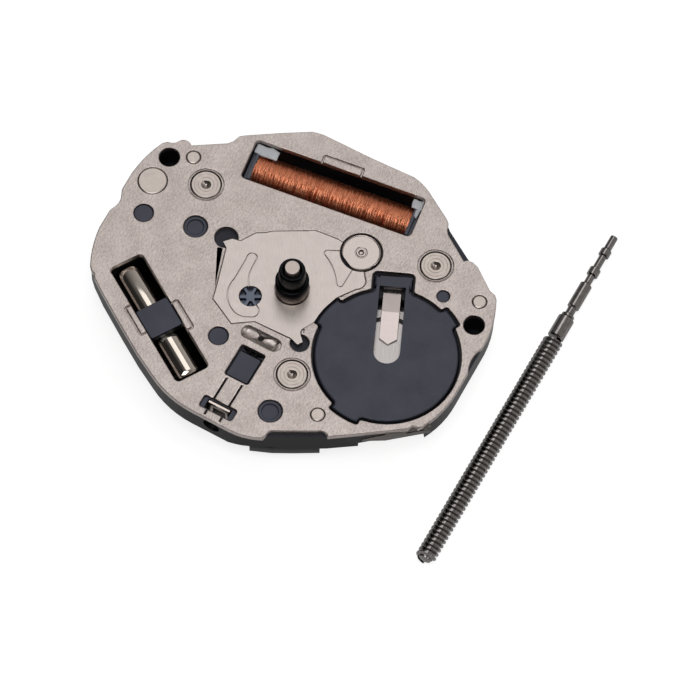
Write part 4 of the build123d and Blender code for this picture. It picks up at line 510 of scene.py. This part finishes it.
def make_winding():
    """The coil's winding: two layers of fine wire, each one long helix, over a plain drum.

    The real wire is about 0.025 mm thick, too fine to show, so it is drawn 0.05 mm thick, a little flattened.
    """
    wire, length, turns = 0.050, 7.34, 150
    drum_radius, layer_radii = 0.76, (0.775, 0.805)
    kept_along, kept_up = 0.85, 0.8
    pitch = length / turns
    axis = (along_coil(1, 0, 0) - along_coil(0, 0, 0)).normalized()
    upright = Matrix.Rotation(radians(coil_direction), 4, "Z") @ Matrix.Rotation(radians(90), 4, "X")
    whole = bmesh.new()
    for layer, radius in enumerate(layer_radii):
        shape = bmesh.new()
        start = along_coil(-length / 2, 0, radius)
        ring = bmesh.ops.create_circle(shape, cap_ends=False, segments=6, radius=wire / 2 * MM,
                                       matrix=Matrix.Translation(start) @ upright)["verts"]
        for vert in ring:
            off = vert.co - start
            vert.co = start + off.dot(axis) * axis * kept_along + Vector((0, 0, off.z * kept_up))
        wind(shape, ring + shape.edges[:], along_coil(0, 0, 0), axis, pitch, turns, steps=24)
        stray(shape, layer, axis, length, pitch)
        add_to(whole, shape)
    bmesh.ops.create_cone(whole, cap_ends=True, segments=48, radius1=drum_radius * MM,
                          radius2=drum_radius * MM, depth=length * MM,
                          matrix=lying(coil_middle, coil_direction))
    finish_piece(whole, "wound_copper", copper, "movement", ["coil_winding", "coil_wire"],
                 sharp=60)


def make_crystal_can():
    """The crystal's drawn can: a round shell with a domed end and a flat centre, open at its other end."""
    domed_end = [(0, 3.0), (0.62, 3.0), (0.74, 2.985), (0.85, 2.93), (0.94, 2.84), (0.985, 2.74), (1.0, 2.62)]
    open_lip = [(1.0, -2.92), (0.985, -2.98), (0.95, -3.0), (0.88, -3.0)]
    inside = [(0.88, 2.6), (0.7, 2.8), (0, 2.8)]
    shape = bmesh.new()
    lathe(shape, domed_end + open_lip + inside, hand_axis)
    bmesh.ops.transform(shape, verts=shape.verts[:], matrix=lying(crystal_middle, crystal_direction))
    finish_piece(shape, "drawn_can", can_metal, "movement", ["crystal_can"])


def battery_spot(point):
    """How far a point lies from the battery's axis along the leaf's slot, and how far to its side."""
    turn = radians(slot_direction)
    x, y = point.x / MM - battery_axis[0], point.y / MM - battery_axis[1]
    return x * cos(turn) + y * sin(turn), abs(y * cos(turn) - x * sin(turn))


def flat_faces(shape, level):
    """The faces that lie flat at a level in millimetres."""
    return [face for face in shape.faces
            if max(abs(vert.co.z / MM - level) for vert in face.verts) < level_slack]


def roll_rim(shape, faces, wide, deep, steps, kept=None):
    """Rolls down a flat region's rim by insets, so wide and so deep in millimetres, but not where kept says."""
    level = faces[0].verts[0].co.z
    for step in range(steps + 1):
        angle = pi / 2 * step / steps
        inside = set(faces)
        rim = [edge for edge in {edge for face in faces for edge in face.edges}
               if len(inside.intersection(edge.link_faces)) == 1]
        for vert in {vert for edge in rim for vert in edge.verts}:
            if not (kept and kept(vert)):
                vert.co.z = level - deep * (1 - sin(angle)) * MM
        if step < steps:
            width = wide * (cos(angle) - cos(pi / 2 * (step + 1) / steps))
            bmesh.ops.inset_region(shape, faces=faces, thickness=width * MM, use_even_offset=True)
            for vert in {vert for face in faces for vert in face.verts}:
                vert.co.z = level


def deepen_coining(shape):
    """Draws the coined rings and tab outlines deeper than the construction has them, so that they show.

    The pocket over the setting wheel gets a bowed floor, high in its middle and low at its two ends.
    """
    ring_depth, groove_depth = 0.07, 0.13
    pocket_reach, pocket_end, floor_depth, floor_fall = 1.2, 0.8, 0.04, 0.07
    for vert in shape.verts:
        x, y, level = vert.co / MM
        beside = abs(y - setting_axis[1])
        if abs(level - coin_level) < level_slack:
            vert.co.z = -ring_depth * MM
        elif abs(level - groove_level) < level_slack:
            if hypot(x - setting_axis[0], beside) < pocket_reach:
                vert.co.z = -(floor_depth + floor_fall * min(beside / pocket_end, 1)) * MM
            else:
                vert.co.z = -groove_depth * MM


def make_plate():
    """The stamped dial plate and its motion guard: a rolled rim runs along every edge of their flat tops."""
    for node, name, material, roll in (("dial_plate", "stamped_plate", nickel, 0.040),
                                       ("motion_guard", "stamped_guard", guard_nickel, 0.012)):
        shape = copied(node)
        deepen_coining(shape)
        roll_rim(shape, flat_faces(shape, 0), roll, roll, steps=3)
        even_out(finish_piece(shape, name, material, "movement", [node]))


def stays_level(vert):
    """Whether a point on the cup floor's edges lies inside the cup's rim or by the leaf's slot."""
    inner_reach, slot_reach, slot_half_width = 2.9, 3.50, 0.70
    along, side = battery_spot(vert.co)
    return hypot(along, side) < inner_reach or (0 < along < slot_reach and side < slot_half_width)


def make_base():
    """The moulded base: the battery cup's floor rolls down at its rim, so a dark moat shows round it.

    The cup's floor is every level face that joins up with one that lies 2 mm from the battery's axis.
    """
    seed_reach = 2.0
    moat_width, moat_depth, ledge_roll = 0.15, 0.24, 0.04
    shape = copied("base_plate")
    level_faces = flat_faces(shape, cup_level)
    joinable = set(level_faces)
    seed = min(level_faces,
               key=lambda face: abs(hypot(*battery_spot(face.calc_center_median())) - seed_reach))
    cup, found = {seed}, [seed]
    while found:
        near = {face for edge in found.pop().edges for face in edge.link_faces if face in joinable} - cup
        cup |= near
        found += near
    roll_rim(shape, [face for face in level_faces if face in cup], moat_width, moat_depth, steps=5,
             kept=stays_level)
    roll_rim(shape, flat_faces(shape, ledge_level), ledge_roll, ledge_roll, steps=3)
    even_out(finish_piece(shape, "moulded_base", base_black, "movement", ["base_plate"]))


def add_block(shape, low, high, corner):
    """A block beside the coil, between two corners along it, across it and up, with rounded edges."""
    middle = [(a + b) / 2 for a, b in zip(low, high)]
    size = [b - a for a, b in zip(low, high)]
    made = bmesh.ops.create_cube(shape, size=1, matrix=Matrix.Translation(along_coil(*middle))
                                 @ Matrix.Rotation(radians(coil_direction), 4, "Z")
                                 @ Matrix.Diagonal([length * MM for length in size] + [1]))
    corners = set(made["verts"])
    edges = [edge for edge in shape.edges if edge.verts[0] in corners]
    bmesh.ops.bevel(shape, geom=edges, offset=corner * MM, offset_type="OFFSET", affect="EDGES", segments=3,
                    profile=0.5, material=-1, clamp_overlap=True)


def make_bobbin():
    """The bobbin: its end flanges stand against the copper, and ledges close the ends of the coil's window."""
    core_end = 3.84
    shape = bmesh.new()
    for low, high in ((-core_end, -3.68), (3.68, core_end)):
        add_block(shape, (low, -0.80, -0.80), (high, 0.80, 0.80), 0.03)
    add_block(shape, (-core_end, -0.45, -0.30), (core_end, 0.45, 0.30), 0.03)
    for low, high in ((-3.99, -3.80), (3.80, 3.99)):
        add_block(shape, (low, -0.93, -0.70), (high, 0.93, 0.66), 0.05)
    finish_piece(shape, "ledged_bobbin", bobbin_nylon, "movement", ["coil_bobbin"])


def make_solder_pads():
    """The coil's terminals: three pale blobs of solder on the bobbin's ends, uneven as solder sets.

    Each direction has its own noise, because mathutils' vector noise differs from run to run.
    """
    bump_size, bump_reach = 0.35, 0.07
    pads = bmesh.new()
    add_block(pads, (-3.97, 0.46, 0.72), (-2.86, 0.96, 0.84), 0.055)
    add_block(pads, (3.50, 0.52, 0.72), (3.97, 0.96, 0.84), 0.055)
    add_block(pads, (3.74, 0.10, 0.72), (3.92, 0.60, 0.80), 0.035)
    long_edges = [edge for edge in pads.edges if edge.calc_length() > 0.3 * MM]
    bmesh.ops.subdivide_edges(pads, edges=long_edges, cuts=5, use_grid_fill=True)
    for vert in pads.verts:
        spot = vert.co / (bump_size * MM)
        bumps = [noise.noise(spot + Vector((0, 0, apart))) for apart in (0, 20, 40)]
        vert.co += Vector(bumps) * bump_reach * MM
    finish_piece(pads, "solder_pads", pad_solder, "movement", ["coil_terminals"], sharp=70)


def make_hour_wheel():
    """The hour wheel: its collar and tube stand up through the guard, and its disc lies unseen below it.

    The disc is drawn without teeth, because the guard covers them.
    """
    disc = [(0.37, -0.26), (1.36, -0.26), (1.36, -0.15), (0.745, -0.15)]
    collar = [(0.745, 0.93), (0.725, 0.965), (0.69, 0.975), (0.610, 0.975)]
    tube = [(0.590, 1.00), (0.590, 1.86), (0.57, 1.935), (0.53, 1.97), (0.44, 1.97), (0.405, 1.945),
            (0.37, 1.86), (0.37, -0.26)]
    shape = bmesh.new()
    lathe(shape, disc + collar + tube, hand_axis, steps=128)
    finish_piece(shape, "turned_hour_wheel", pipe_black, "hour", ["hour_wheel"], sharp=30)


def make_stem():
    """The winding stem: turned steps with small chamfers, then one long thread cut as a true helix.

    Each step has a start, an end and a diameter. The thread's crest and root are narrow flats.
    """
    steps = [(0.02, 0.72, 0.35), (0.76, 1.10, 0.50), (1.10, 1.78, 0.34), (1.82, 2.20, 0.52), (2.20, 2.66, 0.34),
             (2.72, 4.00, 0.56), (4.04, 4.38, 0.40), (4.42, 4.56, 0.60), (4.62, 5.66, 0.76)]
    chamfer = 0.02
    thread_start, thread_end, pitch = 5.70, 17.60, 0.225
    crest, root = 0.45, 0.330
    profile = [(0, 0)]
    for start, end, diameter in steps:
        profile += [(diameter / 2 - chamfer, start), (diameter / 2, start + chamfer),
                    (diameter / 2, end - chamfer), (diameter / 2 - chamfer, end)]
    profile += [(0.32, thread_start), (0, thread_start)]
    shape = bmesh.new()
    lathe(shape, profile, hand_axis, steps=64)
    thread = bmesh.new()
    tooth = ((root, 0.030), (crest, 0.090), (crest, 0.140), (root, 0.200), (root, pitch + 0.030))
    spots = [thread.verts.new(Vector((radius, 0, thread_start + rise)) * MM) for radius, rise in tooth]
    lines = [thread.edges.new(pair) for pair in zip(spots, spots[1:])]
    wind(thread, spots + lines, (0, 0, 0), Vector((0, 0, 1)), pitch,
         round((thread_end - thread_start) / pitch), steps=32)
    add_to(shape, thread)
    tapered_end = [(0, thread_end), (0.33, thread_end), (0.28, 17.80), (0.15, 17.85), (0, 17.85)]
    lathe(shape, tapered_end, hand_axis, steps=64)
    bmesh.ops.transform(shape, verts=shape.verts[:], matrix=lying(stem_tip, 0))
    finish_piece(shape, "threaded_stem", stem_steel, "movement", ["winding_stem"], sharp=30)


def soften_nodes():
    """The CAD nodes that keep their own shapes, each with its material and the width of its rounded edges."""
    finishes = {
        "minute_pinion": (pinion_steel, 0.02), "minute_wheel": (blued_steel, 0.008),
        "setting_wheel": (dark_steel, 0.008), "clutch_wheel": (dark_steel, 0.01),
        "center_wheel": (brass, 0.008), "third_wheel": (brass, 0.008), "intermediate_wheel": (brass, 0.008),
        "rotor_arbor": (bright_steel, 0.008), "rotor_magnet": (magnet, 0.01),
        "stator": (iron, 0.012), "coil_core": (iron, 0.012),
        "crystal_header": (seal_nylon, 0.02), "crystal_leads": (bright_steel, 0.01),
        "crystal_fork": (quartz, 0.01), "bridge_screws": (bright_steel, 0.02),
        "battery_can": (cap_steel, 0.03), "battery_seal": (seal_nylon, 0.01), "battery_cap": (cap_steel, 0.03),
        "negative_terminal": (leaf_bronze, 0.012), "positive_terminal": (side_nickel, 0.012),
        "train_bridge": (nickel, 0.02), "circuit_board": (board_film, 0.01), "ic_chip": (chip_resin, 0.03),
        "circuit_spacer": (seal_nylon, 0.02), "back_cover": (cover_nickel, 0.02),
        "setting_lever": (bright_steel, 0.012), "yoke": (bright_steel, 0.012),
        "lever_spring": (leaf_bronze, 0.01), "lever_posts": (bright_steel, 0.015),
    }
    for node, (material, width) in finishes.items():
        soften(node, material, width)
    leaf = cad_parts["negative_terminal"].data
    leaf.polygons.foreach_set("use_smooth", [False] * len(leaf.polygons))


def make_floor():
    """A pale floor that glows to the camera and a little to metal, and still takes a soft shadow."""
    reach, gap = 3, 0.01
    camera_glow, metal_glow = 0.80, 0.30
    shape = bmesh.new()
    bmesh.ops.create_grid(shape, x_segments=1, y_segments=1, size=reach)
    bmesh.ops.translate(shape, verts=shape.verts[:], vec=(0, 0, (back_level - gap) * MM))
    mesh = bpy.data.meshes.new("floor")
    shape.to_mesh(mesh)
    shape.free()
    floor = bpy.data.objects.new("floor", mesh)
    bpy.context.scene.collection.objects.link(floor)
    made, tree, shader = start_material("pale_floor")[:3]
    ray = tree.nodes.new("ShaderNodeLightPath").outputs
    mirrored = add(tree, "ShaderNodeMath", {"operation": "MULTIPLY"},
                   {0: ray["Is Glossy Ray"], 1: metal_glow}).outputs[0]
    lift = add(tree, "ShaderNodeMath", {"operation": "MULTIPLY_ADD"},
               {0: ray["Is Camera Ray"], 1: camera_glow, 2: mirrored}).outputs[0]
    feed(tree, shader, {"Base Color": linear("#B8B8B8"), "Roughness": 0.9, "Specular IOR Level": 0.1,
                        "Emission Color": (1, 1, 1, 1), "Emission Strength": lift})
    mesh.materials.append(made)


def make_room():
    """The room round the movement: its walls fade from pale to dark, and it shows white to the camera."""
    wall_direction, wall_rise = radians(165), 0.20
    dark_wall, pale_wall = 0.03, 0.55
    world = bpy.data.worlds.new("studio")
    bpy.context.scene.world = world
    world.use_nodes = True
    tree = world.node_tree
    place = tree.nodes.new("ShaderNodeTexCoord").outputs["Generated"]
    beyond = add(tree, "ShaderNodeVectorMath", {"operation": "DOT_PRODUCT"},
                 {0: place, 1: (cos(wall_direction), sin(wall_direction), wall_rise)}).outputs["Value"]
    walls = blended(tree, beyond, dark_wall, pale_wall, 0.05, 0.85)
    shown = tree.nodes.new("ShaderNodeLightPath").outputs["Is Camera Ray"]
    strength = add(tree, "ShaderNodeMath", {"operation": "MAXIMUM"}, {0: walls, 1: shown}).outputs[0]
    feed(tree, tree.nodes["Background"], {"Color": linear("#FFFDFB"), "Strength": strength})


def add_lamp(name, azimuth, elevation, size, power, turn=0):
    """A rectangular lamp that faces the movement from a direction, turned about its own axis."""
    distance = 0.30
    lamp = bpy.data.lights.new(name, "AREA")
    lamp.shape = "RECTANGLE"
    lamp.size, lamp.size_y = size
    lamp.energy = power
    light = bpy.data.objects.new(name, lamp)
    bpy.context.scene.collection.objects.link(light)
    a, e = radians(azimuth), radians(elevation)
    back = Vector((cos(a) * cos(e), sin(a) * cos(e), sin(e)))
    light.location = back * distance
    light.rotation_euler = (back.to_track_quat("Z", "Y") @ Quaternion((0, 0, 1), radians(turn))).to_euler()


def make_light():
    """Three lamps: a long box that the plate mirrors to the camera, a broad one high up, and a side one."""
    add_lamp("long_box", 206, 68, (0.112, 0.154), 0.079, turn=31)
    add_lamp("broad_lamp", 8, 76, (0.16, 0.16), 0.27)
    add_lamp("side_lamp", 95, 35, (0.12, 0.12), 0.10)


def make_camera():
    """The photograph's camera: it looks down at 65 degrees from the side of the stem's hole, 22 cm away.

    Its azimuth counts from the -Y side.
    """
    azimuth, elevation, roll = radians(117.3), radians(65.05), radians(1.77)
    aim, distance = (1.12, 3.02, 0), 0.220
    back = Vector((sin(azimuth) * cos(elevation), -cos(azimuth) * cos(elevation), sin(elevation)))
    right = Vector((cos(azimuth), sin(azimuth), 0))
    up = back.cross(right)
    turned_right = right * cos(roll) + up * sin(roll)
    turned_up = up * cos(roll) - right * sin(roll)
    camera = bpy.data.objects.new("camera", bpy.data.cameras.new("camera"))
    bpy.context.scene.collection.objects.link(camera)
    camera.data.sensor_width = 36
    camera.data.lens = 266.7
    camera.data.clip_start = 0.001
    camera.data.clip_end = 10
    rows = Matrix((turned_right, turned_up, back)).transposed().to_4x4()
    camera.matrix_world = Matrix.Translation(Vector(aim) * MM + back * distance) @ rows
    bpy.context.scene.camera = camera


make_screw_tubes()
make_rivet_and_pins()
make_rotor_bearing()
make_winding()
make_crystal_can()
make_hour_wheel()
make_stem()
make_plate()
make_base()
make_bobbin()
make_solder_pads()
soften_nodes()
make_floor()
make_room()
make_light()
make_camera()
bpy.context.scene.view_settings.view_transform = "Standard"
